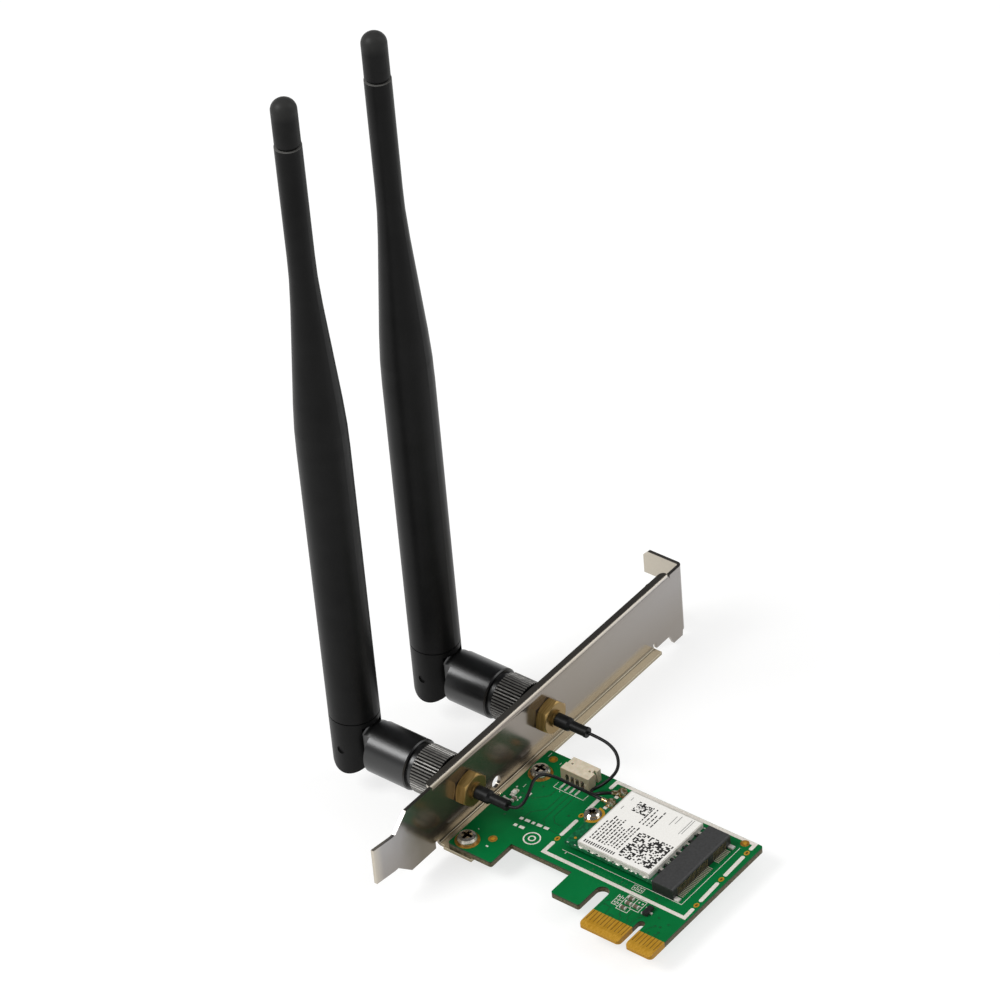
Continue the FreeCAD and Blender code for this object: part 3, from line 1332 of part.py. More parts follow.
def rounded_path(points):
    """Straight runs joined by tangent arcs as large as their runs allow"""
    edges = []
    radii = []
    last = points[0]
    for before, corner, after in zip(points, points[1:], points[2:]):
        come = corner - before
        leave = after - corner
        turn_angle = come.getAngle(leave)
        shorter = min(come.Length, leave.Length)
        radius = 0.45 * shorter / math.tan(turn_angle / 2)
        reach = radius * math.tan(turn_angle / 2)
        come.normalize()
        leave.normalize()
        start = corner - come * reach
        end = corner + leave * reach
        inward = leave - come
        inward.normalize()
        to_centre = radius / math.cos(turn_angle / 2)
        middle = corner + inward * (to_centre - radius)
        edges.append(Part.LineSegment(last, start).toShape())
        edges.append(Part.Arc(start, middle, end).toShape())
        radii.append(radius)
        last = end
    edges.append(Part.LineSegment(last, points[-1]).toShape())
    return Part.Wire(edges), radii


def make_lead(number, route, plug_turn):
    """One coaxial lead from its sleeve to its plug along a hand-chosen route"""
    jack_y = jack_ys[number - 1].value
    angle = math.radians(size_of(plug_turn).value)
    reach = s.crimp_length.value
    start = (plate_in + s.sleeve_end).value, jack_y, jack_z.value
    end = (plug_x.value - reach * math.cos(angle),
           plug_ys[number - 1].value - reach * math.sin(angle),
           (module_face + s.crimp_radius + s.plug_fit).value)
    points = [FreeCAD.Vector(*point) for point in [start] + route + [end]]
    path, radii = rounded_path(points)
    radius = s.lead_diameter.value / 2
    direction = points[1] - points[0]
    section = Part.Wire(Part.Circle(points[0], direction, radius).toShape())
    tube = path.makePipeShell([section], True, True)
    expected = math.pi * radius ** 2 * path.Length
    print("lead", number, "length", round(path.Length, 2), "arc radii",
          [round(value, 2) for value in radii], "volume ratio",
          round(tube.Volume / expected, 4))
    item = doc.addObject("Part::Feature", "lead_tube_%d" % number)
    item.Shape = tube
    node("lead_%d" % number, item)


def make_antenna(number, y):
    """One antenna: coupling nut, plug, hinge barrel, fork, pin, rod, cap and radiator"""
    tag = "_%d" % number
    front = plate_out - s.nut_front
    back = front - s.nut_length
    thread_end = plate_in - s.thread_length
    bore = s.thread_radius + s.turn_fit
    cavity_end = back + s.nut_web
    knurl_start = front - s.nut_rim - s.nut_gap
    knurl_end = back + s.nut_back_rim

    nut = new_body("coupling_nut" + tag, 0, y, jack_z)
    turn(nut, [
        (front, bore),
        (front, s.nut_rim_radius - s.nut_chamfer),
        (front - s.nut_chamfer / 2, s.nut_rim_radius),
        (front - s.nut_rim, s.nut_rim_radius),
        (front - s.nut_rim, s.nut_gap_radius),
        (knurl_start, s.nut_gap_radius),
        (knurl_start, s.nut_radius),
        (knurl_end, s.nut_radius),
        (knurl_end, s.nut_rim_radius),
        (back, s.nut_rim_radius),
        (back, s.neck_radius + s.turn_fit),
        (cavity_end, s.neck_radius + s.turn_fit),
        (cavity_end, s.nut_cavity_radius),
        (thread_end, s.nut_cavity_radius),
        (thread_end, bore),
    ])
    floor = s.nut_radius - s.knurl_depth
    groove = outline(nut, "YZ_Plane", knurl_start, [
        (-s.knurl_width, s.nut_radius + s.knurl_depth),
        (0, floor),
        (s.knurl_width, s.nut_radius + s.knurl_depth),
    ])
    first = pocket(nut, groove, knurl_start - knurl_end)
    ring = nut.newObject("PartDesign::PolarPattern", "knurl" + tag)
    ring.Originals = [first]
    ring.Axis = (groove, ["N_Axis"])
    ring.Angle = 360
    bind(ring, Occurrences=s.knurl_count)
    nut.Tip = ring
    node("antenna%s_nut" % tag, nut)

    # the plug turns in the nut's back wall and is pressed into the barrel
    sleeve_tip = thread_end + s.jack_bore_depth - s.end_play
    collar_front = thread_end - s.end_play
    collar_back = cavity_end + s.end_play
    barrel_front = back - s.end_play
    neck_end = barrel_front - s.neck_seat
    collar_radius = s.nut_cavity_radius - s.turn_fit
    plug = new_body("antenna_plug" + tag, 0, y, jack_z)
    turn(plug, [
        (sleeve_tip, s.plug_sleeve_bore),
        (sleeve_tip, s.plug_sleeve_radius),
        (collar_front, s.plug_sleeve_radius),
        (collar_front, collar_radius),
        (collar_back, collar_radius),
        (collar_back, s.neck_radius),
        (neck_end, s.neck_radius),
        (neck_end, s.plug_sleeve_bore),
    ])
    node("antenna%s_plug" % tag, plug)

    core = new_body("antenna_core" + tag, 0, y, jack_z)
    core_front = sleeve_tip - s.contact_reach
    turn(core, [
        (core_front, s.socket_contact_radius + s.core_fit),
        (core_front, s.plug_sleeve_bore - s.core_fit),
        (neck_end, s.plug_sleeve_bore - s.core_fit),
        (neck_end, s.socket_contact_radius + s.core_fit),
    ])
    node("antenna%s_insulator" % tag, core)

    contact = new_body("antenna_contact" + tag, 0, y, jack_z)
    pin_space = s.contact_radius + s.core_fit * 2
    pin_tip = thread_end + s.jack_bore_depth - s.contact_reach - s.end_play
    turn(contact, [
        (sleeve_tip - s.end_play, pin_space),
        (sleeve_tip - s.end_play, s.socket_contact_radius),
        (neck_end, s.socket_contact_radius),
        (neck_end, 0),
        (pin_tip, 0),
        (pin_tip, pin_space),
    ])
    node("antenna%s_contact" % tag, contact)

    # hinge barrel: turned, with two flats and a round-ended tongue for the fork
    barrel_end = barrel_front - s.barrel_length
    pin_x = barrel_end - s.pin_reach
    collar_end = barrel_front - s.barrel_collar
    barrel = new_body("hinge_barrel" + tag, 0, y, jack_z)
    turn(barrel, [
        (barrel_front, s.neck_radius),
        (barrel_front, s.barrel_collar_radius),
        (collar_end, s.barrel_collar_radius),
        (collar_end, s.barrel_radius - s.barrel_chamfer),
        (collar_end - s.barrel_chamfer, s.barrel_radius),
        (barrel_end, s.barrel_radius),
        (barrel_end, 0),
        (neck_end, 0),
        (neck_end, s.neck_radius),
    ])
    soften(barrel, "Fillet", s.barrel_edge,
           lambda edge: near(edge.BoundBox.XMin, barrel_end) and near(edge.BoundBox.XMax, barrel_end))
    flat = s.slot_half - s.slot_fit
    step = pin_x + s.fork_end + s.fork_play
    for side in (1, -1):
        face = outline(barrel, "XY_Plane", s.barrel_radius, [
            (step, size_of(side) * flat),
            (barrel_end - s.pin_reach, size_of(side) * flat),
            (barrel_end - s.pin_reach, size_of(side) * s.barrel_radius * 1.1),
            (step, size_of(side) * s.barrel_radius * 1.1),
        ])
        pocket(barrel, face, s.barrel_radius * 2)
    tongue = outline(barrel, "XZ_Plane", -flat, [
        (barrel_end + s.barrel_edge, -s.tongue_half_rise),
        (barrel_end + s.barrel_edge, s.tongue_half_rise),
        (pin_x, s.tongue_half_rise),
        (pin_x, -s.tongue_half_rise),
    ])
    pad(barrel, tongue, flat * 2)
    round_end = circles(barrel, "XZ_Plane", -flat, s.tongue_half_rise, [(pin_x, 0)])
    pad(barrel, round_end, flat * 2)
    eye_radius = s.hinge_pin_radius + s.hinge_fit
    eye = circles(barrel, "XZ_Plane", flat, eye_radius, [(pin_x, 0)])
    pocket(barrel, eye, flat * 2)
    node("antenna%s_barrel" % tag, barrel)

    # fork: a slotted cylinder with a round end about the pin and a spigot for the rod
    fork_name = "fork" + tag
    seam_z = jack_z + s.seam_rise
    wide = s.fork_radius * 1.2
    slot = box(fork_name + "_slot",
               (pin_x - s.fork_end * 1.2, y - s.slot_half, jack_z - s.fork_end * 1.2),
               (s.fork_end * 2.4, s.slot_half * 2, s.fork_end * 1.2 + s.slot_top))
    low_column = rod(fork_name + "_low", "z", (pin_x, y, jack_z - s.fork_end),
                     s.fork_radius, s.fork_end)
    limit = rod(fork_name + "_limit", "y", (pin_x, y - wide, jack_z), s.fork_end, wide * 2)
    cheeks = common(fork_name + "_cheeks", cut(fork_name + "_low", low_column, slot), limit)
    high_column = rod(fork_name + "_high", "z", (pin_x, y, jack_z), s.fork_radius,
                      s.seam_rise)
    crown = cut(fork_name + "_high", high_column, slot)
    spigot = rod(fork_name + "_spigot", "z", (pin_x, y, seam_z), s.spigot_radius,
                 s.spigot_length)
    hinge_hole = rod(fork_name + "_hole", "y", (pin_x, y - s.fork_radius * 1.1, jack_z),
                     s.hinge_pin_radius, s.fork_radius * 2.2)
    dimples = []
    for count, low in enumerate((y - s.fork_radius * 1.1, y + s.fork_radius - s.dimple_depth)):
        depth = s.dimple_depth + s.fork_radius * 0.1
        dimples.append(rod("%s_dimple_%d" % (fork_name, count), "y", (pin_x, low, jack_z),
                           s.dimple_radius, depth))
    well = rod(fork_name + "_well", "z", (pin_x, y, seam_z), s.wire_radius,
               s.spigot_length * 2)
    joined = fuse(fork_name + "_joined", cheeks, crown, spigot)
    node("antenna%s_fork" % tag, cut(fork_name, joined, hinge_hole, well, *dimples))

    pin_half = s.fork_radius - s.dimple_depth - s.end_play
    pin = rod("hinge_pin" + tag, "y", (pin_x, y - pin_half, jack_z), s.hinge_pin_radius,
              pin_half * 2)
    node("antenna%s_hinge_pin" % tag, pin)

    # rod: turned about its own axis, slim above a blended taper, hollow for the radiator
    slope = (s.fork_radius - s.rod_top_radius) / (s.flare_end - s.flare_start)
    blend = s.flare_blend
    rod_body = new_body("rod_body" + tag, pin_x, y, jack_z)
    inner_low = s.fork_radius - s.rod_wall
    inner_high = s.rod_top_radius - s.rod_wall
    turn(rod_body, [
        (s.spigot_radius + s.core_fit, s.seam_rise),
        (s.fork_radius - s.seam_chamfer, s.seam_rise),
        (s.fork_radius, s.seam_rise + s.seam_chamfer),
        (s.fork_radius, s.flare_start - blend),
        (s.fork_radius - slope * blend * 0.18, s.flare_start - blend * 0.1),
        (s.fork_radius - slope * blend, s.flare_start + blend),
        (s.rod_top_radius + slope * blend, s.flare_end - blend),
        (s.rod_top_radius + slope * blend * 0.18, s.flare_end + blend * 0.1),
        (s.rod_top_radius, s.flare_end + blend),
        (s.rod_top_radius, s.rod_top),
        (inner_high, s.rod_top),
        (inner_high, s.flare_end),
        (inner_low, s.flare_start - blend),
        (inner_low, s.seam_rise + s.spigot_length),
        (s.spigot_radius + s.core_fit, s.seam_rise + s.spigot_length),
    ], "XZ_Plane", "V_Axis")
    node("antenna%s_rod" % tag, rod_body)

    cap_low = s.rod_top + s.cap_gap
    cap_top = s.rod_top + s.cap_length
    cap = new_body("cap_body" + tag, pin_x, y, jack_z)
    turn(cap, [
        (0, s.rod_top - s.cap_spigot),
        (inner_high - s.core_fit, s.rod_top - s.cap_spigot),
        (inner_high - s.core_fit, s.rod_top),
        (s.cap_gap_radius, s.rod_top),
        (s.cap_gap_radius, cap_low),
        (s.cap_radius, cap_low),
        (s.cap_radius, cap_top),
        (0, cap_top),
    ], "XZ_Plane", "V_Axis")
    soften(cap, "Fillet", s.cap_radius * 0.92,
           lambda edge: near(edge.BoundBox.ZMin, cap_top) and near(edge.BoundBox.ZMax, cap_top))
    node("antenna%s_cap" % tag, cap)

    wire_low = seam_z
    wire_top = jack_z + s.rod_top - s.cap_spigot * 1.5
    wire = rod("wire" + tag, "z", (pin_x, y, wire_low), s.wire_radius, wire_top - wire_low)
    tube_low = seam_z + s.spigot_length
    tube = rod("radiator_tube" + tag, "z", (pin_x, y, tube_low), s.radiator_radius,
               s.radiator_length)
    node("antenna%s_radiator" % tag, fuse("radiator" + tag, wire, tube))


# Routes of the two coaxial leads between the shrink sleeve's end and the plug's crimp
LEAD_1_ROUTE = [
    (-42.5, 16.4, 8.5),
    (-41.1, 17.9, 9.6),
    (-41.3, 20.7, 11.3),
    (-42.6, 23.9, 12.0),
    (-42.8, 27.2, 11.3),
    (-41.2, 29.7, 9.5),
    (-38.7, 31.5, 7.4),
    (-36.7, 32.8, 5.7),
    (-34.9, 33.8, 4.6),
    (-33.0, 34.3, 3.88),
]
LEAD_2_ROUTE = [
    (-41.6, 47.4, 8.5),
    (-37.8, 47.1, 8.3),
    (-34.7, 46.0, 7.2),
    (-32.7, 43.4, 5.7),
    (-33.4, 40.6, 4.1),
    (-35.0, 38.9, 2.6),
    (-36.3, 37.4, 2.0),
    (-35.6, 35.8, 2.2),
    (-33.9, 35.3, 3.2),
    (-32.1, 36.136, 3.88),
]


make_bracket()
make_board()
make_fingers()
make_pads()
make_board_screws()
make_module()
make_module_fixing()
make_socket()
make_header()
make_light()
make_chips()
for side_number, jack_place in enumerate(jack_ys, start=1):
    make_jack(side_number, jack_place)
for side_number, plug_turn in enumerate((0, s.second_plug_turn), start=1):
    make_plug(side_number, plug_ys[side_number - 1], plug_turn)
make_lead(1, LEAD_1_ROUTE, 0)
make_lead(2, LEAD_2_ROUTE, s.second_plug_turn)
for side_number, jack_place in enumerate(jack_ys, start=1):
    make_antenna(side_number, jack_place)

doc.recompute()
for item in doc.Objects:
    if "Invalid" in item.State or "Error" in item.State:
        raise RuntimeError("failed to build: " + item.Label)
os.makedirs("parts", exist_ok=True)
for item in nodes:
    if item.Shape.isNull() or not item.Shape.isValid():
        raise RuntimeError("bad shape: " + item.Label)
    item.Shape.exportStep("parts/%s.step" % item.Label)
print(len(nodes), "sub-parts written")
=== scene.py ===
import math
import random

import bmesh
import bpy
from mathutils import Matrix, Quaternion, Vector


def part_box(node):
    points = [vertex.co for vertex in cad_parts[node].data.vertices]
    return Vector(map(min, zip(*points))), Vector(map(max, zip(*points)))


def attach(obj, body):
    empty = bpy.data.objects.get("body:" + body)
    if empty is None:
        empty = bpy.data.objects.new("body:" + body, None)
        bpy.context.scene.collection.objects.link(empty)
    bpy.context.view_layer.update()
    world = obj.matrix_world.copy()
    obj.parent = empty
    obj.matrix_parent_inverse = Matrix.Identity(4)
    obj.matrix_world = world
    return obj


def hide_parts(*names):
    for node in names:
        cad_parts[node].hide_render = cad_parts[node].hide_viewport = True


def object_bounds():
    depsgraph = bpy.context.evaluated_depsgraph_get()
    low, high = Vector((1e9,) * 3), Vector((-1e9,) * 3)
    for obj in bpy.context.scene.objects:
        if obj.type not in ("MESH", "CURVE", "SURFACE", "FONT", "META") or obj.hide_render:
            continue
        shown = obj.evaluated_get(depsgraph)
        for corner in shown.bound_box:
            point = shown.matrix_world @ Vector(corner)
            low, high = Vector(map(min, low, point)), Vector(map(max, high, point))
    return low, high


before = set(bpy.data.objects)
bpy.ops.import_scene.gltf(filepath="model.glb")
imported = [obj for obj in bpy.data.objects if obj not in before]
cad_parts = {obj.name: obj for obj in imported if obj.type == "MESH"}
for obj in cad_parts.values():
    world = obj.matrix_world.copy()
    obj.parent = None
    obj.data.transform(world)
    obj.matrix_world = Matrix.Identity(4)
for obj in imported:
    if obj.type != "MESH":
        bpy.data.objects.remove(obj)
cad_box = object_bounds()


# Camera: a long lens that looks down on the card's component side from the
# free corner of the board, with the two antennas standing at the back left.
lens = bpy.data.cameras.new("camera")
lens.lens = 172.42
lens.sensor_width = 36.0
camera = bpy.data.objects.new("camera", lens)
bpy.context.scene.collection.objects.link(camera)
camera.location = (0.509077, -0.614187, 0.749276)
sight = Vector((-0.518198, 0.596631, -0.612783))
lean = Quaternion((0, 0, 1), math.radians(-5.1234))
camera.rotation_mode = "QUATERNION"
camera.rotation_quaternion = sight.to_track_quat("-Z", "Y") @ lean
bpy.context.scene.camera = camera


# Antenna leads: two thin coaxial cables, black fluoropolymer jacket over a
# braided screen, soldered into the jacks and crimped into the radio's plugs.
# The jacket is extruded, so it is smooth, slightly waxy and never quite black.

def colour(code):
    """A colour written as sRGB hex, in the linear numbers that Blender mixes"""
    parts = [int(code[k:k + 2], 16) / 255 for k in (0, 2, 4)]
    return [p / 12.92 if p <= 0.04045 else ((p + 0.055) / 1.055) ** 2.4 for p in parts] + [1.0]


def part(material, kind, sockets=(), into=None, stops=(), **settings):
    """Adds one node to a material and gives its first output.

    sockets holds the value or link of each input, into the input that it feeds,
    and stops the places and colours of a ramp. A sum's inputs go by number, and
    a mix of colours has its share at 0 and its two colours at 6 and 7.
    """
    node = material.node_tree.nodes.new("ShaderNode" + kind)
    for name, value in settings.items():
        setattr(node, name, value)
    for socket, value in dict(sockets).items():
        if isinstance(value, bpy.types.NodeSocket):
            material.node_tree.links.new(value, node.inputs[socket])
        else:
            node.inputs[socket].default_value = value
    for number, (place, code) in enumerate(stops):
        ramp = node.color_ramp.elements
        mark = ramp[number] if number < len(ramp) else ramp.new(place)
        mark.position = place
        mark.color = colour(code)
    output = next(socket for socket in node.outputs if socket.enabled)
    if into:
        material.node_tree.links.new(output, into)
    return output


def finish_for(name, code, roughness, metallic=0.0, **sockets):
    """A new material of that colour, roughness and metal, its shader's inputs and coordinates"""
    material = bpy.data.materials.new(name)
    material.use_nodes = True
    material.diffuse_color = colour(code)
    shader = material.node_tree.nodes["Principled BSDF"].inputs
    shader["Base Color"].default_value = colour(code)
    shader["Roughness"].default_value = roughness
    shader["Metallic"].default_value = metallic
    for socket, value in sockets.items():
        shader[socket.replace("_", " ")].default_value = value
    return material, shader, part(material, "TexCoord").node.outputs["Object"]


def mottle(material, shader, where, scale, detail, stops, relief):
    """Tints a finish with clouds 1 / scale metres long, standing proud by its relief in metres"""
    clouds = part(material, "TexNoise", {"Vector": where, "Scale": scale, "Detail": detail})
    part(material, "ValToRGB", {"Fac": clouds}, shader["Base Color"], stops)
    part(material, "Bump", {"Height": clouds, "Distance": relief}, shader["Normal"])


# extruded fluoropolymer: faint waxy clouding about 1 mm long over a smooth skin
jacket, skin, here = finish_for("coax jacket, extruded black", "121212", 0.42,
                                Specular_IOR_Level=0.25)
mottle(jacket, skin, here, scale=900, detail=3, stops=((0.3, "0E0E0E"), (0.7, "1A1A1A")),
       relief=0.00003)

# each lead's real length in metres, and its route in millimetres from the jack's sleeve to the
# crimp of the radio's plug
lead_radius = 0.405
lead_routes = {
    "lead_1": (0.0308, [
        (-44.5, 16.4, 8.5), (-42.5, 16.4, 8.5), (-41.1, 17.9, 9.6), (-41.3, 20.7, 11.3),
        (-42.6, 23.9, 12.0), (-42.8, 27.2, 11.3), (-41.2, 29.7, 9.5), (-38.7, 31.5, 7.4),
        (-36.7, 32.8, 5.7), (-34.9, 33.8, 4.6), (-33.0, 34.3, 3.88), (-30.75, 34.3, 3.88)]),
    "lead_2": (0.0300, [
        (-44.5, 47.4, 8.5), (-41.6, 47.4, 8.5), (-37.8, 47.1, 8.3), (-34.7, 46.0, 7.2),
        (-32.7, 43.4, 5.7), (-33.4, 40.6, 4.1), (-35.0, 38.9, 2.6), (-36.3, 37.4, 2.0),
        (-35.6, 35.8, 2.2), (-33.9, 35.3, 3.2), (-32.1, 36.136, 3.88), (-30.306, 37.346, 3.88)]),
}
for node, (length, route) in lead_routes.items():
    line = bpy.data.curves.new(node + "_jacket", "CURVE")
    line.dimensions = "3D"
    run = line.splines.new("NURBS")
    run.points.add(len(route) - 1)
    for point, (x, y, z) in zip(run.points, route):
        point.co = (x / 1000, y / 1000, z / 1000, 1.0)
    run.order_u = 3
    run.use_endpoint_u = True
    run.resolution_u = 16
    line.bevel_depth = lead_radius / 1000
    line.bevel_resolution = 5
    line.use_fill_caps = True
    line.materials.append(jacket)
    lead = bpy.data.objects.new(node + "_jacket", line)
    bpy.context.scene.collection.objects.link(lead)
    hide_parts(node)
    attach(lead, "card")


# Circuit board: glass-epoxy laminate under green solder mask. The mask is a
# cured lacquer, so its faces are even and softly glossy, and follow the copper
# below; the routed edges show the bare brown laminate with its glass fibres.

def dress(material, *nodes):
    """Puts a material on the slots of these construction nodes"""
    for name in nodes:
        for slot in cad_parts[name].material_slots:
            slot.material = material


def top_of(node):
    """The height of a construction node's upper face, in metres"""
    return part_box(node)[1].z


# where the board's finishes change, in metres: just under its masked faces, in the upper part
# of the routed edge, and round the corner that the plated fingers take up
mask_face = top_of("board") - 0.00001
stained_from = 0.00042
fingers_end_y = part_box("edge_contacts")[1].y
fingers_start_x = -0.0125

mask, lacquer, here = finish_for("green solder mask on glass epoxy", "006A35", 0.4,
                                 Specular_IOR_Level=0.14)
x, y, z = part(mask, "SeparateXYZ", {"Vector": here}).node.outputs
# copper under the mask: a hatched pour about 2.4 mm wide and slow drift show as a shade
pour = part(mask, "TexVoronoi", {"Vector": here, "Scale": 420}, distance="CHEBYCHEV")
drift = part(mask, "TexNoise", {"Vector": here, "Scale": 55, "Detail": 2})
shade = part(mask, "Math", {0: pour, 1: 0.16, 2: drift}, operation="MULTIPLY_ADD")
green = part(mask, "ValToRGB", {"Fac": shade},
             stops=((0.3, "005E2C"), (0.5, "006832"), (0.75, "007038")))
# bare laminate on the routed edges: fibres 0.5 by 0.2 mm, stained green just under the mask,
# and the brown side of the plated fingers
fibres = part(mask, "Mapping", {"Vector": here, "Scale": (1, 1, 2.5)})
weave = part(mask, "TexNoise", {"Vector": fibres, "Scale": 1900, "Detail": 4})
bare = part(mask, "ValToRGB", {"Fac": weave}, stops=((0.35, "3E3726"), (0.7, "6E6448")))
stain = part(mask, "ValToRGB", {"Fac": weave}, stops=((0.35, "16301D"), (0.7, "33452C")))
upper = part(mask, "Math", {0: z, 1: stained_from}, operation="GREATER_THAN")
edge = part(mask, "Mix", {0: upper, 6: bare, 7: stain}, data_type="RGBA")
low = part(mask, "Math", {0: y, 1: fingers_end_y}, operation="LESS_THAN")
near = part(mask, "Math", {0: x, 1: fingers_start_x}, operation="GREATER_THAN")
finger = part(mask, "Math", {0: low, 1: near}, operation="MULTIPLY")
edge = part(mask, "Mix", {0: finger, 6: edge, 7: colour("A87B1F")}, data_type="RGBA")
green = part(mask, "Mix", {0: finger, 6: green, 7: colour("7A5A22")}, data_type="RGBA")
height = part(mask, "Math", {0: z}, operation="ABSOLUTE")
flat = part(mask, "Math", {0: height, 1: mask_face}, operation="GREATER_THAN")
part(mask, "Mix", {0: flat, 6: edge, 7: green}, lacquer["Base Color"], data_type="RGBA")
# the lacquer's cured skin: a grain of 0.2 mm, almost too fine to show
grain = part(mask, "TexNoise", {"Vector": here, "Scale": 5200, "Detail": 1})
part(mask, "Bump", {"Height": grain, "Distance": 0.000012}, lacquer["Normal"])
dress(mask, "board")


# Gold contacts: hard gold over nickel on the fingers, half bright with fine
# wiping lines along them, and immersion gold on the screws' rings and the pads.
gold, plate, here = finish_for("hard gold plating", "CC9524", 0.36, 0.35)
wiped = part(gold, "Mapping", {"Vector": here, "Scale": (1.0, 0.08, 1.0)})
mottle(gold, plate, wiped, scale=4200, detail=2, stops=((0.3, "BE8A17"), (0.7, "DAA63A")),
       relief=0.000006)
dress(gold, "edge_contacts")

# the round pads and screw rings are immersion gold, thinner and browner
flash, thin, here = finish_for("thin immersion gold", "9E6F22", 0.4, 0.3)
mottle(flash, thin, here, scale=1500, detail=3, stops=((0.3, "8A5C18"), (0.65, "B5842F")),
       relief=0.00001)
dress(flash, "board_pads")

# the socket's contacts are pale gold in the comb and tinned at their solder feet
foot_top = 0.00118
pale_gold, spring, here = finish_for("gold-flashed contact springs", "CDB67A", 0.35, 0.3)
z = part(pale_gold, "SeparateXYZ", {"Vector": here}).node.outputs["Z"]
haze = part(pale_gold, "TexNoise", {"Vector": here, "Scale": 2500, "Detail": 2})
upper = part(pale_gold, "ValToRGB", {"Fac": haze}, stops=((0.3, "DCC37C"), (0.7, "F0DCA2")))
foot = part(pale_gold, "Math", {0: z, 1: foot_top}, operation="LESS_THAN")
part(pale_gold, "Mix", {0: foot, 6: upper, 7: colour("CBC6B2")}, spring["Base Color"],
     data_type="RGBA")
dress(pale_gold, "socket_contacts")


# Bracket: cold-rolled steel sheet, blanked, folded and nickel plated. The plate
# is satin from its rolling lines; painted highlights make the folds and flanges brighter.

# its landmarks in metres: the plate's two ends, the fold to the flanges on the board's side and
# to the lip on the other, the flanges' underside, the foot of the lip along the top, how high
# the board's painted reflection reaches, and how far the painted shade in the fold reaches
plate_ends = (-0.017, 0.103)
fold_in = (-0.0571, -0.0566)
fold_out = (-0.0575, -0.0579)
fold_line = -0.0568
flange_under = -0.0009
lip_foot = (0.0166, 0.01672)
mirrored_height = (0.001, 0.012)
crease_shade_reach = (0.0003, 0.00022)

nickel, bright, here = finish_for("satin nickel on rolled steel", "9A938A", 0.2, 0.84)
x, y, z = part(nickel, "SeparateXYZ", {"Vector": here}).node.outputs
smear = part(nickel, "TexNoise", {"Vector": here, "Scale": 70, "Detail": 3})
along = part(nickel, "MapRange", {"Value": y, "From Min": plate_ends[0], "From Max": plate_ends[1]})
tone = part(nickel, "Math", {0: smear, 1: 0.06, 2: along}, operation="MULTIPLY_ADD")
# painted reflection: what the plate mirrors is painted into its colour, grey at the tongue, olive by
# the board, cool at the far end
reflection_tint = part(nickel, "ValToRGB", {"Fac": tone}, stops=(
    (0.03, "A4A2A1"), (0.1, "979493"), (0.16, "6C685C"), (0.24, "776F60"), (0.42, "8A827A"),
    (0.67, "918A81"), (1.0, "9D9996")))
# painted reflection of the board: it is browner low down, where it faces the board
rise = part(nickel, "MapRange", {"Value": z, "From Min": mirrored_height[0],
                                 "From Max": mirrored_height[1], "To Min": 0.45, "To Max": 0.0})
reflection_tint = part(nickel, "Mix", {0: rise, 6: reflection_tint, 7: colour("857B6D")}, data_type="RGBA")
# painted highlight: the flanges on the board's side are painted cream
flange_highlight_mask = part(nickel, "MapRange", {"Value": x, "From Min": fold_in[0], "From Max": fold_in[1]})
# painted shade: the flanges' underside is painted darker
shaded_underside = part(nickel, "Math", {0: z, 1: flange_under}, operation="LESS_THAN")
flange_light_and_shade = part(nickel, "Mix", {0: shaded_underside, 6: colour("DCD1B8"), 7: colour("9A9078")},
             data_type="RGBA")
folds = part(nickel, "Mix", {0: flange_highlight_mask, 6: reflection_tint, 7: flange_light_and_shade}, data_type="RGBA")
# painted shade: a dull line is painted in the tight inside of the fold
depth = part(nickel, "Math", {0: x, 1: -fold_line}, operation="ADD")
depth = part(nickel, "Math", {0: depth}, operation="ABSOLUTE")
crease_shade = part(nickel, "MapRange", {"Value": depth, "From Min": crease_shade_reach[0],
                                   "From Max": crease_shade_reach[1], "To Max": 0.5})
folds = part(nickel, "Mix", {0: crease_shade, 6: folds, 7: colour("5E563F")}, data_type="RGBA")
# painted highlight: the outer fold is painted lighter
outer_fold_highlight = part(nickel, "MapRange", {"Value": x, "From Min": fold_out[0], "From Max": fold_out[1]})
folds = part(nickel, "Mix", {0: outer_fold_highlight, 6: folds, 7: colour("C6BEB0")}, data_type="RGBA")
# painted shade: the narrow lip along the top is painted darker
lip_shade = part(nickel, "MapRange", {"Value": z, "From Min": lip_foot[0], "From Max": lip_foot[1],
                                "To Max": 0.85})
part(nickel, "Mix", {0: lip_shade, 6: folds, 7: colour("5F5C57")}, bright["Base Color"],
     data_type="RGBA")
part(nickel, "MapRange", {"Value": smear, "From Min": 0.3, "From Max": 0.7, "To Min": 0.15,
                          "To Max": 0.27}, bright["Roughness"])
# rolling lines along the plate, drawn 0.4 mm apart so that they show
rolled = part(nickel, "Mapping", {"Vector": here, "Scale": (1.0, 0.03, 1.0)})
lines = part(nickel, "TexNoise", {"Vector": rolled, "Scale": 2600, "Detail": 3})
part(nickel, "Bump", {"Height": lines, "Distance": 0.000004}, bright["Normal"])
dress(nickel, "bracket")


# Screws and the radio's standoff: steel with bright zinc, turned and rolled,
# so the heads mirror their surroundings with fine tool marks.
zinc, screw, here = finish_for("bright zinc on turned steel", "CFC8B8", 0.17, 0.92)
marks = part(zinc, "TexNoise", {"Vector": here, "Scale": 1500, "Detail": 3})
plated = part(zinc, "ValToRGB", {"Fac": marks}, stops=((0.3, "CFC7B6"), (0.7, "F4EFE4")))
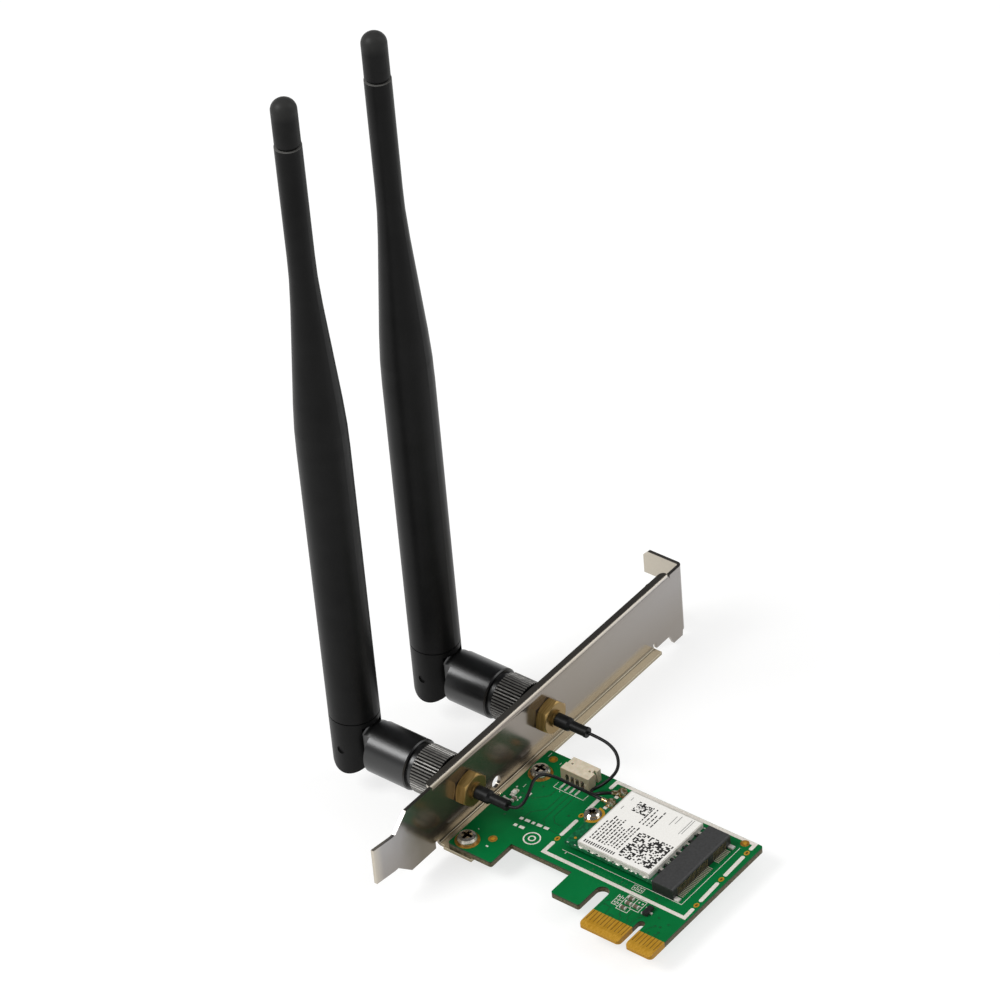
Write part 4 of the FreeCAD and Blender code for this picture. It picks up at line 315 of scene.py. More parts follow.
# painted shade: the cross recesses, round each screw's axis and under its brim, are painted dark
heads = (((-0.05095, 0.0082), 0.0025), ((-0.05095, 0.0364), 0.0025), ((-0.0299, 0.0293), 0.00415))
recess_radius = 0.00138
z = part(zinc, "SeparateXYZ", {"Vector": here}).node.outputs["Z"]
flat = part(zinc, "Mapping", {"Vector": here, "Scale": (1.0, 1.0, 0.0)})
for (axis_x, axis_y), brim in heads:
    near = part(zinc, "VectorMath", {0: flat, 1: (axis_x, axis_y, 0.0)}, operation="DISTANCE")
    near = part(zinc, "Math", {0: near, 1: recess_radius}, operation="LESS_THAN")
    deep = part(zinc, "Math", {0: z, 1: brim}, operation="LESS_THAN")
    recess_shade = part(zinc, "Math", {0: near, 1: deep}, operation="MULTIPLY")
    plated = part(zinc, "Mix", {0: recess_shade, 6: plated, 7: colour("3A3222")}, screw["Base Color"],
                  data_type="RGBA")
part(zinc, "Bump", {"Height": marks, "Distance": 0.00001}, screw["Normal"])
dress(zinc, "board_screws", "module_screw", "module_standoff")


# Radio module: a smaller board under a darker green mask, with a tinned steel
# shield can over its circuits and a matt printed label on the can.

# pads and tracks under its mask show as squares about 0.9 mm wide
dark_mask, dark_coat, here = finish_for("dark green solder mask", "0B5A34", 0.4,
                                        Specular_IOR_Level=0.25)
squares = part(dark_mask, "TexVoronoi", {"Vector": here, "Scale": 1100}, distance="CHEBYCHEV")
part(dark_mask, "ValToRGB", {"Fac": squares}, dark_coat["Base Color"],
     ((0.1, "147446"), (0.5, "0A5331")))
part(dark_mask, "Bump", {"Height": squares, "Distance": 0.00002}, dark_coat["Normal"])
dress(dark_mask, "module_board")

# frosted tin: crystals about 1.5 mm across, half bright
tinned, can, here = finish_for("tinned steel sheet", "DAD6CE", 0.36, 0.3)
mottle(tinned, can, here, scale=620, detail=4, stops=((0.3, "CFCBC1"), (0.7, "EAE7E1")),
       relief=0.000012)
dress(tinned, "module_shield", "socket_hold_downs", "chip_ends", "regulator_legs")

# the header's pins are bright at their solder feet, and painted shade darkens them inside the
# housing's mouth
mouth_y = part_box("header_housing")[0].y
pins_shaded_from = mouth_y - 0.0002
pin_tin, pin_coat, here = finish_for("tinned brass pins", "D3CFC6", 0.34, 0.5)
y = part(pin_tin, "SeparateXYZ", {"Vector": here}).node.outputs["Y"]
bloom = part(pin_tin, "TexNoise", {"Vector": here, "Scale": 1400, "Detail": 3})
clean = part(pin_tin, "ValToRGB", {"Fac": bloom}, stops=((0.3, "C9C5BA"), (0.7, "F0EEE8")))
inside = part(pin_tin, "Math", {0: y, 1: pins_shaded_from}, operation="GREATER_THAN")
part(pin_tin, "Mix", {0: inside, 6: clean, 7: colour("3A3024")}, pin_coat["Base Color"],
     data_type="RGBA")
dress(pin_tin, "header_pins")

# matt coated paper, with fibres about 0.3 mm long
paper, print_coat, here = finish_for("matt printed label", "EFEDE8", 0.55, IOR=1.45)
mottle(paper, print_coat, here, scale=3000, detail=2, stops=((0.3, "EAE8E2"), (0.7, "F3F1ED")),
       relief=0.000006)
dress(paper, "module_label")


# Small circuits: black epoxy packages and grey-brown ceramic chips with
# tinned ends, placed by machine and soldered in an oven.

# moulded epoxy is dull, with a fine speckle of its filler
epoxy, package, here = finish_for("black moulding epoxy", "1E1E1E", 0.5, IOR=1.55)
mottle(epoxy, package, here, scale=4000, detail=2, stops=((0.3, "161616"), (0.7, "262524")),
       relief=0.00001)
dress(epoxy, "regulator", "radio_chips", "module_chips")

# fired ceramic is bare and a little mottled
ceramic, chip, here = finish_for("fired ceramic chip", "6B5F50", 0.45, IOR=1.6)
mottle(ceramic, chip, here, scale=2500, detail=2, stops=((0.3, "544A3E"), (0.7, "7D705F")),
       relief=0.00001)
dress(ceramic, "chip_bodies")


# Module socket: liquid-crystal polymer, moulded dark grey with a dry sheen,
# with gold-flashed contacts in its comb.
polymer, shell, here = finish_for("moulded dark grey polymer", "393939", 0.5, IOR=1.5)
z = part(polymer, "SeparateXYZ", {"Vector": here}).node.outputs["Z"]
flow = part(polymer, "TexNoise", {"Vector": here, "Scale": 1800, "Detail": 3})
roof = part(polymer, "ValToRGB", {"Fac": flow}, stops=((0.3, "363636"), (0.7, "414141")))
# painted shade: the comb's walls below the roof's chamfer are painted blacker than the roof
chamfer = (0.0036, 0.0039)
wall_shade = part(polymer, "MapRange", {"Value": z, "From Min": chamfer[0], "From Max": chamfer[1]})
part(polymer, "Mix", {0: wall_shade, 6: colour("1B1B1A"), 7: roof}, shell["Base Color"],
     data_type="RGBA")
part(polymer, "Bump", {"Height": flow, "Distance": 0.000012}, shell["Normal"])
dress(polymer, "socket_housing")


# Header: a four-way housing moulded in ivory nylon, open at its side and a little
# translucent at its thin walls. Its four pins are soldered to the board.
nylon, housing, here = finish_for("moulded ivory nylon", "D2C6AF", 0.42, IOR=1.53,
                                  Subsurface_Weight=0.1, Subsurface_Scale=0.0006)
flow = part(nylon, "TexNoise", {"Vector": here, "Scale": 900, "Detail": 3})
places = part(nylon, "SeparateXYZ", {"Vector": here}).node.outputs
ivory = part(nylon, "ValToRGB", {"Fac": flow}, stops=((0.3, "C9BCA2"), (0.7, "D9CEB9")))
# painted shade: the mating face round its windows, and the end by the radio, are painted browner
radio_end_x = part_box("header_housing")[1].x
shaded_face_y = (mouth_y + 0.0002, mouth_y)
end_x = (radio_end_x - 0.0001, radio_end_x - 0.00003)
face = part(nylon, "MapRange", {"Value": places["Y"], "From Min": shaded_face_y[0],
                                "From Max": shaded_face_y[1]})
end_shade = part(nylon, "MapRange", {"Value": places["X"], "From Min": end_x[0],
                                "From Max": end_x[1], "To Max": 0.8})
face = part(nylon, "Math", {0: face, 1: end_shade}, operation="MAXIMUM")
part(nylon, "Mix", {0: face, 6: ivory, 7: colour("988A72")}, housing["Base Color"],
     data_type="RGBA")
part(nylon, "Bump", {"Height": flow, "Distance": 0.00001}, housing["Normal"])
dress(nylon, "header_housing")


# Status light: a small lamp soldered flat on the board, moulded in white polyamide
# and filled with clear resin over its die.
resin, lamp, here = finish_for("white polyamide with clear resin", "F4EFE4", 0.35, IOR=1.5)
y = part(resin, "SeparateXYZ", {"Vector": here}).node.outputs["Y"]
flow = part(resin, "TexNoise", {"Vector": here, "Scale": 1400, "Detail": 2})
cup = part(resin, "ValToRGB", {"Fac": flow}, stops=((0.3, "F2ECDF"), (0.7, "FBF7EE")))
# the die's window is a straw-coloured band across the lamp, 0.5 mm wide
window_y = 0.0279
window_half = 0.00025
offset = part(resin, "Math", {0: y, 1: -window_y}, operation="ADD")
window = part(resin, "Math", {0: offset}, operation="ABSOLUTE")
window = part(resin, "Math", {0: window, 1: window_half}, operation="LESS_THAN")
part(resin, "Mix", {0: window, 6: cup, 7: colour("C9BFA6")}, lamp["Base Color"],
     data_type="RGBA")
dress(resin, "status_light")


# Jacks: turned brass, gold flashed, with a white core, behind hexagon nuts,
# and a black heat-shrink sleeve over each soldered lead.
# Painted shade makes the nuts' faces that look along the board, and the brass past them, duller than
# the flanks.

shaded_face_x = -0.05432
brass, turned, here = finish_for("gold-flashed turned brass", "B29256", 0.3, 0.7)
tooled = part(brass, "Mapping", {"Vector": here, "Scale": (1.0, 0.05, 0.05)})
rings = part(brass, "TexNoise", {"Vector": tooled, "Scale": 3800, "Detail": 2})
sides = part(brass, "ValToRGB", {"Fac": rings}, stops=((0.3, "A08146"), (0.7, "C8A668")))
x = part(brass, "SeparateXYZ", {"Vector": here}).node.outputs["X"]
# painted shade: brass past the nuts' faces is painted darker
face = part(brass, "Math", {0: x, 1: shaded_face_x}, operation="GREATER_THAN")
part(brass, "Mix", {0: face, 6: sides, 7: colour("8C7344")}, turned["Base Color"],
     data_type="RGBA")
part(brass, "Bump", {"Height": rings, "Distance": 0.000008}, turned["Normal"])
dress(brass, "module_receptacles")
for number in (1, 2):
    dress(brass, f"jack_{number}_body", f"jack_{number}_pin", f"jack_{number}_washer",
          f"jack_{number}_nut", f"antenna_{number}_contact", f"antenna_{number}_plug")

# the cores are turned from pressed fluoropolymer, which is waxy and a little cloudy
fluor, core, here = finish_for("white fluoropolymer", "E9E7E0", 0.45, IOR=1.38)
flow = part(fluor, "TexNoise", {"Vector": here, "Scale": 1200, "Detail": 2})
part(fluor, "ValToRGB", {"Fac": flow}, core["Base Color"], ((0.3, "DFDCD3"), (0.7, "EEECE6")))
for number in (1, 2):
    dress(fluor, f"jack_{number}_insulator", f"antenna_{number}_insulator")

# shrunk polyolefin keeps soft waves, about 1.5 mm long, from the hot air
shrink, tube, here = finish_for("heat-shrunk black polyolefin", "121212", 0.46,
                                Specular_IOR_Level=0.2)
mottle(shrink, tube, here, scale=700, detail=3, stops=((0.3, "0E0E0E"), (0.7, "1C1C1C")),
       relief=0.00004)
dress(shrink, "jack_1_sleeve", "jack_2_sleeve")

# plugs of the leads: stamped phosphor bronze under a thin, patchy bright plating
bronze, crimped, here = finish_for("plated phosphor bronze", "C8BCA4", 0.24, 0.8)
mottle(bronze, crimped, here, scale=1300, detail=3,
       stops=((0.38, "7D6740"), (0.5, "C2AC80"), (0.6, "F6EEDE")), relief=0.00006)
dress(bronze, "lead_plug_1", "lead_plug_2")


# Antennas: a knurled coupling nut of black-chromed brass, a barrel, fork and
# rod moulded in black polyurethane over the radiator, and a black nylon cap.

# their places in metres: the jacks' axes, the knurl's crests painted as highlights and their band on
# the nut, the rod's open rim in the groove under the cap, painted as a glint, and the cap's dome,
# painted lighter as a highlight
front_axis, rear_axis = (sum(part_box(jack), Vector()) / 2 for jack in ("jack_1_body", "jack_2_body"))
axes_middle_y = (front_axis.y + rear_axis.y) / 2
axes_apart_half = (rear_axis.y - front_axis.y) / 2
axes_z = front_axis.z
crest_highlight_radii = (0.00598, 0.00608)
band_x = -0.06556
band_half = 0.00356
rim_z = top_of("antenna_1_rod")
rim_glint_half = 0.00006
cap_top = top_of("antenna_1_cap")
dome_highlight_z = (cap_top - 0.0046, cap_top - 0.0006)

chrome, knurl, here = finish_for("black chrome on knurled brass", "3C3B3A", 0.36, 0.4)
x, y, z = part(chrome, "SeparateXYZ", {"Vector": here}).node.outputs
crest_noise = part(chrome, "TexNoise", {"Vector": here, "Scale": 800, "Detail": 3})
ridge_highlight = part(chrome, "ValToRGB", {"Fac": crest_noise}, stops=((0.3, "62605D"), (0.7, "7C7A76")))
# distance from the axis of either nut: the crests of the knurl are painted bright as highlights
across = part(chrome, "Math", {0: y, 1: -axes_middle_y}, operation="ADD")
across = part(chrome, "Math", {0: across}, operation="ABSOLUTE")
across = part(chrome, "Math", {0: across, 1: -axes_apart_half}, operation="ADD")
rise = part(chrome, "Math", {0: z, 1: -axes_z}, operation="ADD")
spoke = part(chrome, "CombineXYZ", {"X": across, "Y": rise})
reach = part(chrome, "VectorMath", {0: spoke}, operation="LENGTH")
crest_highlight = part(chrome, "MapRange", {"Value": reach, "From Min": crest_highlight_radii[0],
                                  "From Max": crest_highlight_radii[1]})
along = part(chrome, "Math", {0: x, 1: -band_x}, operation="ADD")
along = part(chrome, "Math", {0: along}, operation="ABSOLUTE")
band = part(chrome, "Math", {0: along, 1: band_half}, operation="LESS_THAN")
crest_highlight = part(chrome, "Math", {0: crest_highlight, 1: band}, operation="MULTIPLY")
part(chrome, "Mix", {0: crest_highlight, 6: colour("171717"), 7: ridge_highlight}, knurl["Base Color"],
     data_type="RGBA")
dress(chrome, "antenna_1_nut", "antenna_2_nut")

# the barrels come from a polished mould, and are glossy with a slow flow 2.4 mm long
gloss, moulded, here = finish_for("moulded glossy black polyurethane", "0F0F0F", 0.3, IOR=1.62)
mottle(gloss, moulded, here, scale=420, detail=3, stops=((0.3, "0C0C0C"), (0.7, "131313")),
       relief=0.00001)
dress(gloss, "antenna_1_barrel", "antenna_2_barrel")

# the rods' skin is satin: a fine moulded grain, drawn 0.4 mm wide so that it shows
satin, rubber, here = finish_for("satin black polyurethane skin", "121212", 0.38,
                                 Specular_IOR_Level=0.1)
grain = part(satin, "TexNoise", {"Vector": here, "Scale": 2600, "Detail": 2})
drift = part(satin, "TexNoise", {"Vector": here, "Scale": 120, "Detail": 2})
black = part(satin, "ValToRGB", {"Fac": drift}, stops=((0.3, "0F0F0F"), (0.7, "161616")))
# painted highlight: the rod's open rim is painted pale as a glint
z = part(satin, "SeparateXYZ", {"Vector": here}).node.outputs["Z"]
rim = part(satin, "Math", {0: z, 1: rim_z, 2: rim_glint_half}, operation="COMPARE")
part(satin, "Mix", {0: rim, 6: black, 7: colour("646361")}, rubber["Base Color"],
     data_type="RGBA")
part(satin, "Bump", {"Height": grain, "Distance": 0.000015}, rubber["Normal"])
dress(satin, "antenna_1_fork", "antenna_2_fork", "antenna_1_hinge_pin", "antenna_2_hinge_pin",
      "antenna_1_rod", "antenna_2_rod")

# the caps are a harder moulding, and their domes are painted grey as a highlight
matt, dome, here = finish_for("matt black nylon", "141414", 0.45, Specular_IOR_Level=0.13)
flow = part(matt, "TexNoise", {"Vector": here, "Scale": 300, "Detail": 3})
black = part(matt, "ValToRGB", {"Fac": flow}, stops=((0.3, "101010"), (0.7, "171717")))
z = part(matt, "SeparateXYZ", {"Vector": here}).node.outputs["Z"]
dome_highlight = part(matt, "MapRange", {"Value": z, "From Min": dome_highlight_z[0], "From Max": dome_highlight_z[1]})
part(matt, "Mix", {0: dome_highlight, 6: black, 7: colour("323231")}, dome["Base Color"],
     data_type="RGBA")
part(matt, "Bump", {"Height": flow, "Distance": 0.00001}, dome["Normal"])
dress(matt, "antenna_1_cap", "antenna_2_cap")

# the radiators are bare drawn wire, dulled in patches
copper, wound, here = finish_for("drawn copper wire", "B87748", 0.3, 1.0)
dull = part(copper, "TexNoise", {"Vector": here, "Scale": 900, "Detail": 2})
part(copper, "ValToRGB", {"Fac": dull}, wound["Base Color"], ((0.3, "A5673B"), (0.7, "C98A5B")))
dress(copper, "antenna_1_radiator", "antenna_2_radiator")


# Printed legend on the board: white ink, screened about 0.02 mm thick on the
# mask. A broad guard band runs round the radio, broken at its ground vias,
# with thin outlines of the parts inside it.

def start_piece():
    """Opens a new piece in edit mode, with nothing in it"""
    bpy.ops.object.select_all(action="DESELECT")
    bpy.ops.mesh.primitive_plane_add(size=0.001)
    bpy.ops.object.mode_set(mode="EDIT")
    bpy.ops.mesh.select_mode(type="VERT")
    bpy.ops.mesh.delete(type="VERT")


def lines_on(runs, width, low, thick=0.02, rounded=False):
    """Flat lines of that width along runs of points on a level face, in millimetres"""
    start_piece()
    for run in runs:
        start = (run[0][0] / 1000, run[0][1] / 1000, low / 1000)
        bpy.ops.mesh.primitive_plane_add(size=0.0001, location=start)
        bpy.ops.mesh.merge(type="CENTER")
        for (x, y), (next_x, next_y) in zip(run, run[1:]):
            step = ((next_x - x) / 1000, (next_y - y) / 1000, 0)
            bpy.ops.mesh.extrude_region_move(TRANSFORM_OT_translate={"value": step})
    bpy.ops.mesh.select_all(action="SELECT")
    bpy.ops.mesh.extrude_region_move(TRANSFORM_OT_translate={"value": (0, 0, thick / 1000)})
    bpy.ops.mesh.select_all(action="SELECT")
    bpy.ops.mesh.normals_make_consistent(inside=False)
    bpy.ops.object.mode_set(mode="OBJECT")
    line = bpy.context.object
    wall = line.modifiers.new("width", "SOLIDIFY")
    wall.thickness = width / 1000
    wall.offset = 0.0
    wall.use_even_offset = True
    bpy.ops.object.modifier_apply(modifier="width")
    if rounded:
        # the upright edges at the ends of the runs, half a width from the run, are bevelled
        half_width = width / 2000
        ends = [Vector((x / 1000, y / 1000)) for run in runs for x, y in (run[0], run[-1])]
        bpy.ops.object.mode_set(mode="EDIT")
        bpy.ops.mesh.select_mode(type="EDGE")
        bpy.ops.mesh.select_all(action="DESELECT")
        mesh = bmesh.from_edit_mesh(line.data)
        for edge in mesh.edges:
            low_end, high_end = (v.co for v in edge.verts)
            upright = (low_end.xy - high_end.xy).length < 1e-6
            near = min((low_end.xy - end).length for end in ends) < 1.04 * half_width
            edge.select_set(upright and near)
        bpy.ops.mesh.bevel(offset=0.9 * half_width, segments=5)
        bpy.ops.object.mode_set(mode="OBJECT")
    return line


def fit(piece, name, finish):
    """Names a new piece, gives it its material and makes it move with the card"""
    piece.name = piece.data.name = name
    piece.data.materials.clear()
    piece.data.materials.append(finish)
    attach(piece, "card")


# the ink is dry and a little open, with the screen's cells drawn 0.4 mm wide so that they show
ink, legend, here = finish_for("screened white epoxy ink", "DCD5CC", 0.6, IOR=1.5)
mottle(ink, legend, here, scale=2800, detail=2, stops=((0.3, "CFC8BE"), (0.7, "E4DED6")),
       relief=0.00001)

# heights of the faces that take print and plating are in millimetres
board_top = 1000 * top_of("board")
guard = lines_on([
    [(-33.6, 19.0), (-33.6, 14.9), (7.1, 14.7), (7.0, 18.4)],
    [(6.9, 21.0), (6.65, 28.6)],
    [(6.55, 31.1), (6.35, 39.2)],
    [(6.3, 41.6), (6.25, 43.85), (-33.7, 43.85), (-33.75, 40.9)],
    [(-33.7, 37.6), (-33.65, 31.6)],
    [(-33.6, 28.0), (-33.6, 21.4)],
], width=1.0, low=board_top, rounded=True)
fit(guard, "guard_band", ink)

outlines = lines_on([
    [(-45.4, 36.2), (-45.4, 34.2), (-36.6, 34.2), (-36.6, 36.2)],
    [(-43.4, 33.9), (-43.0, 33.5)],
    [(-53.1, 42.2), (-53.1, 43.7)],
    [(-49.0, 41.3), (-49.0, 42.1)],
    [(-51.4, 30.2), (-51.4, 31.4)],
    [(-51.3, 12.7), (-50.9, 12.7)],
    [(-30.3, 17.8), (4.0, 17.9), (4.0, 41.0)],
    [(-8.9, 15.9), (-6.0, 15.9), (-6.0, 17.4), (-8.9, 17.4), (-8.9, 15.9)],
    [(-7.9, 15.9), (-7.9, 17.4)], [(-7.0, 15.9), (-7.0, 17.4)],
    [(-9.9, 13.0), (-9.9, 9.5), (-8.0, 9.5)],
    [(-9.9, 11.3), (-8.1, 11.3)], [(-9.0, 13.0), (-9.0, 9.5)],
    [(-8.0, 14.0), (-8.0, 8.7), (-4.9, 8.7), (-4.9, 10.3), (-2.7, 10.3)],
    [(-8.0, 12.1), (-2.9, 12.1)], [(-8.0, 10.35), (-4.9, 10.35)],
    [(-5.3, 14.0), (-5.3, 10.4)], [(-8.0, 14.0), (-2.9, 14.0), (-2.9, 10.4)],
], width=0.14, low=board_top)
fit(outlines, "part_outlines", ink)

# plain bars mark the lamp's ends, and two rows of them stand before the radio
bars = lines_on([
    [(-53.2, 25.5), (-53.2, 25.0), (-50.6, 24.8), (-50.4, 26.2)],
    [(-49.7, 25.6), (-49.7, 26.0)], [(-49.7, 26.5), (-49.7, 27.2)],
    [(-48.4, 28.2), (-48.4, 29.6)], [(-46.1, 9.05), (-45.4, 9.05)],
], width=0.4, low=board_top)
fit(bars, "marker_bars", ink)

legend_rows = lines_on([
    [(-45.4, 21.2), (-44.5, 21.25)], [(-43.9, 21.3), (-42.6, 21.4)],
    [(-42.0, 21.4), (-41.2, 21.45)], [(-40.6, 21.5), (-39.2, 21.6)],
    [(-38.6, 21.6), (-37.3, 21.7)],
    [(-45.2, 18.6), (-44.3, 18.65)], [(-43.7, 18.7), (-42.3, 18.8)],
], width=0.85, low=board_top)
fit(legend_rows, "legend_rows", ink)

# two plain rings are the printer's registration target
target_x, target_y = -38.6, 16.95
turns = [math.radians(15 * step) for step in range(25)]
rings = lines_on([[(target_x + reach * math.cos(turn), target_y + reach * math.sin(turn))
                   for turn in turns] for reach in (2.0, 0.8)], width=0.34, low=board_top)
fit(rings, "registration_rings", ink)

# bare footprints: tinned pads where no part is fitted
footprints = lines_on([
    [(-9.6, 12.3), (-9.3, 12.3)], [(-9.6, 10.3), (-9.3, 10.3)], [(-8.7, 12.3), (-8.4, 12.3)],
    [(-8.7, 10.3), (-8.4, 10.3)], [(-4.7, 13.1), (-4.3, 13.1)], [(-3.7, 13.1), (-3.3, 13.1)],
    [(-8.55, 16.6), (-8.25, 16.6)], [(-7.6, 16.6), (-7.3, 16.6)], [(-6.6, 16.6), (-6.3, 16.6)],
    [(-52.9, 29.5), (-52.5, 29.5)], [(-29.1, 17.3), (-28.8, 17.3)],
], width=0.55, low=board_top, thick=0.03)
fit(footprints, "bare_footprints", tinned)


# Copper tracks and tented vias: etched copper under the mask, so they stand
# about 0.012 mm proud and the mask over them is a shade darker.
track_mask, track_coat, here = finish_for("green solder mask over copper", "004F27", 0.4, IOR=1.5)
film = part(track_mask, "TexNoise", {"Vector": here, "Scale": 1800, "Detail": 2})
part(track_mask, "ValToRGB", {"Fac": film}, track_coat["Base Color"],
     ((0.3, "004F25"), (0.7, "005F2F")))
tracks = lines_on([
    [(-10.9, 8.4), (-9.15, 8.3), (-9.0, 6.1), (-9.0, 5.7)],
    [(-6.4, 8.5), (-5.9, 7.4), (-5.1, 6.8), (-5.06, 5.7)],
    [(-4.0, 10.1), (-4.0, 7.6), (-3.0, 6.6), (-3.0, 5.7)],
    [(-8.0, 5.7), (-8.0, 6.3), (-6.9, 6.3), (-6.9, 5.7)],
    [(-11.6, 5.7), (-11.6, 8.9), (-11.0, 9.9)], [(-2.0, 5.7), (-2.0, 7.9), (-1.5, 9.0)],
    [(2.1, 5.7), (2.1, 7.1), (3.1, 8.6)], [(5.1, 5.7), (5.1, 7.3)],
    [(-12.0, 15.5), (-12.0, 17.3)], [(-10.6, 15.5), (-10.6, 17.0), (-10.2, 17.4)],
    [(-44.2, 34.0), (-44.2, 31.2), (-46.9, 28.4), (-50.0, 28.4)],
    [(-41.9, 34.0), (-41.9, 26.9), (-44.6, 24.1), (-44.6, 20.4)],
    [(-40.4, 34.0), (-40.4, 23.8), (-38.2, 21.6), (-34.4, 21.6)],
    [(-38.9, 34.0), (-38.9, 25.7), (-37.4, 24.2), (-34.4, 24.2)],
], width=0.26, low=board_top, thick=0.012)
fit(tracks, "covered_tracks", track_mask)


def raise_face(piece, thick):
    """Gives a flat piece its thickness in millimetres, upwards from its face"""
    body = piece.modifiers.new("height", "SOLIDIFY")
    body.thickness = thick / 1000
    body.offset = 1.0
    bpy.ops.object.modifier_apply(modifier="height")


def dots_on(places, radius, low, thick, stretch=1.0, hole=0.0):
    """Round or oval dots on a level face, in millimetres, each with a rim if it has a hole"""
    start_piece()
    for x, y in places:
        middle = (x / 1000, y / 1000, low / 1000)
        bpy.ops.mesh.primitive_circle_add(vertices=20, radius=radius / 1000, fill_type="NGON",
                                          location=middle)
        bpy.ops.transform.resize(value=(1.0, stretch, 1.0), center_override=middle)
        if hole:
            bpy.ops.mesh.inset(thickness=(radius - hole) / 1000)
    bpy.ops.object.mode_set(mode="OBJECT")
    dots = bpy.context.object
    raise_face(dots, thick)
    return dots


def darken(piece, inner, reach):
    """Gives a second material to the round faces of a piece that have less than that radius"""
    piece.data.materials.append(inner)
    for face in piece.data.polygons:
        if len(face.vertices) > 4 and face.area < math.pi * (reach / 1000) ** 2:
            face.material_index = 1


vias = dots_on([(2.3, 11.5), (4.4, 9.1), (5.5, 10.8), (4.8, 6.3), (3.1, 6.2), (-11.0, 10.0),
                (3.2, 8.8), (5.1, 7.5), (-10.9, 8.4), (-1.5, 9.1), (-44.6, 20.2), (-50.2, 28.4),
                (-46.9, 24.0), (-49.2, 20.2), (-38.8, 38.9), (-36.0, 42.4),
                (-20.0, 16.4), (-27.0, 16.4), (-2.0, 16.4), (-47.5, 33.0), (-36.2, 28.0)],
               radius=0.36, low=board_top, thick=0.014)
fit(vias, "tented_vias", track_mask)

# painted highlight: the probe pads are painted bright gold in the middle
pad_top = 1000 * top_of("board_pads")
pad_highlights = dots_on([(-51.4, 42.0), (-46.2, 11.8), (4.0, 42.9)],
                      radius=0.5, low=pad_top, thick=0.008)
fit(pad_highlights, "pad_highlight_spots", gold)


# Ground vias in the guard band's breaks: oval plated holes with a gold land.
# The bore is a flat dark brown spot in the middle of the land: the colour of its copper wall, with
# painted shade for the hole.
bore_shade, bore_wall, here = finish_for("plated bore wall with painted shade", "5A3D10", 0.5, 0.3)
pits = part(bore_shade, "TexNoise", {"Vector": here, "Scale": 3000, "Detail": 2})
part(bore_shade, "ValToRGB", {"Fac": pits}, bore_wall["Base Color"],
     ((0.3, "3A260A"), (0.7, "7A5518")))
lands = dots_on([(-33.75, 29.7), (-33.6, 20.2), (6.95, 19.65), (6.6, 29.85), (6.3, 40.4)],
                radius=0.62, low=board_top, thick=0.03, stretch=1.35, hole=0.24)
fit(lands, "ground_vias", gold)
darken(lands, bore_shade, 0.5)


# Details on the radio's board: a gold land round its screw seat, plated vias,
# white solder by the receptacles, small tinned pads along the front edge and
# screened marks on the strip before the socket.
module_top = 1000 * top_of("module_board")

# the screw's seat is open at the radio's edge, so its land, here in metres, is cut off there
seat = (-0.0299, 0.0293, module_top / 1000)
seat_radius = 0.0029
seat_width = 0.0007
land_end_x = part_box("module_board")[0].x + 0.00005
bpy.ops.object.select_all(action="DESELECT")
bpy.ops.mesh.primitive_circle_add(vertices=64, radius=seat_radius, fill_type="NGON", location=seat)
bpy.ops.object.transform_apply(location=True)
bpy.ops.object.mode_set(mode="EDIT")
bpy.ops.mesh.inset(thickness=seat_width)
bpy.ops.mesh.delete(type="FACE")
bpy.ops.mesh.select_all(action="SELECT")
bpy.ops.mesh.bisect(plane_co=(land_end_x, 0, 0), plane_no=(1, 0, 0), clear_inner=True)
bpy.ops.object.mode_set(mode="OBJECT")
land = bpy.context.object
raise_face(land, 0.04)
fit(land, "screw_seat_land", gold)

via_places = [(-28.4, 20.6), (-28.4, 38.9)]
rim = dots_on(via_places, radius=0.62, low=module_top, thick=0.012)
fit(rim, "via_rims", track_mask)
spot = dots_on(via_places, radius=0.34, low=module_top, thick=0.035)
fit(spot, "module_vias", gold)

# the solder is dull and as white as the ink, so it takes the same finish
solder = [[(-29.25, 32.75), (-28.35, 32.75)], [(-29.25, 37.15), (-28.35, 37.15)]]
solder_dots = lines_on(solder, width=0.75, low=module_top, thick=0.12)
fit(solder_dots, "solder_lands", ink)

# a broken row of pads runs along the front edge, between the radio's two ends
chance = random.Random(11)
row = []
row_y = 18.5
place, row_end = -29.3, -0.4
while place < row_end:
    size = chance.choice((0.3, 0.5, 0.9))
    row.append([(place, row_y), (place + size, row_y)])
    place += size + chance.choice((0.5, 0.9, 1.6))
edge_pads = lines_on(row, width=0.26, low=module_top, thick=0.03)
fit(edge_pads, "module_edge_pads", tinned)

# the marks lie between the chips, next to the socket, at these places and of these lengths
strip_x = -5.22
marks = []
for middle, span in ((22.95, 1.0), (25.0, 0.35), (25.6, 0.35), (26.2, 0.3), (27.5, 0.35),
                     (28.55, 0.5), (30.1, 0.6), (33.4, 0.7), (37.9, 0.8), (39.8, 0.3)):
    marks.append([(strip_x, middle - span / 2), (strip_x, middle + span / 2)])
strip_marks = lines_on(marks, width=0.55, low=module_top)
fit(strip_marks, "strip_marks", ink)


# Print on the label: generic bars in rows and two square mosaics, in thermal
# black and thin grey on the matt face.
black_ink, pigment, here = finish_for("thermal black print", "222222", 0.6, IOR=1.45)
speckle = part(black_ink, "TexNoise", {"Vector": here, "Scale": 3500, "Detail": 2})
part(black_ink, "ValToRGB", {"Fac": speckle}, pigment["Base Color"],
     ((0.3, "1A1A1A"), (0.7, "333231")))
grey_ink, faint, here = finish_for("thin grey print", "8A8A88", 0.6, IOR=1.45)
speckle = part(grey_ink, "TexNoise", {"Vector": here, "Scale": 3500, "Detail": 2})
part(grey_ink, "ValToRGB", {"Fac": speckle}, faint["Base Color"],
     ((0.3, "7C7C7A"), (0.7, "A2A29F")))

# heights in millimetres
label_top = 1000 * top_of("module_label")
print_thick = 0.004


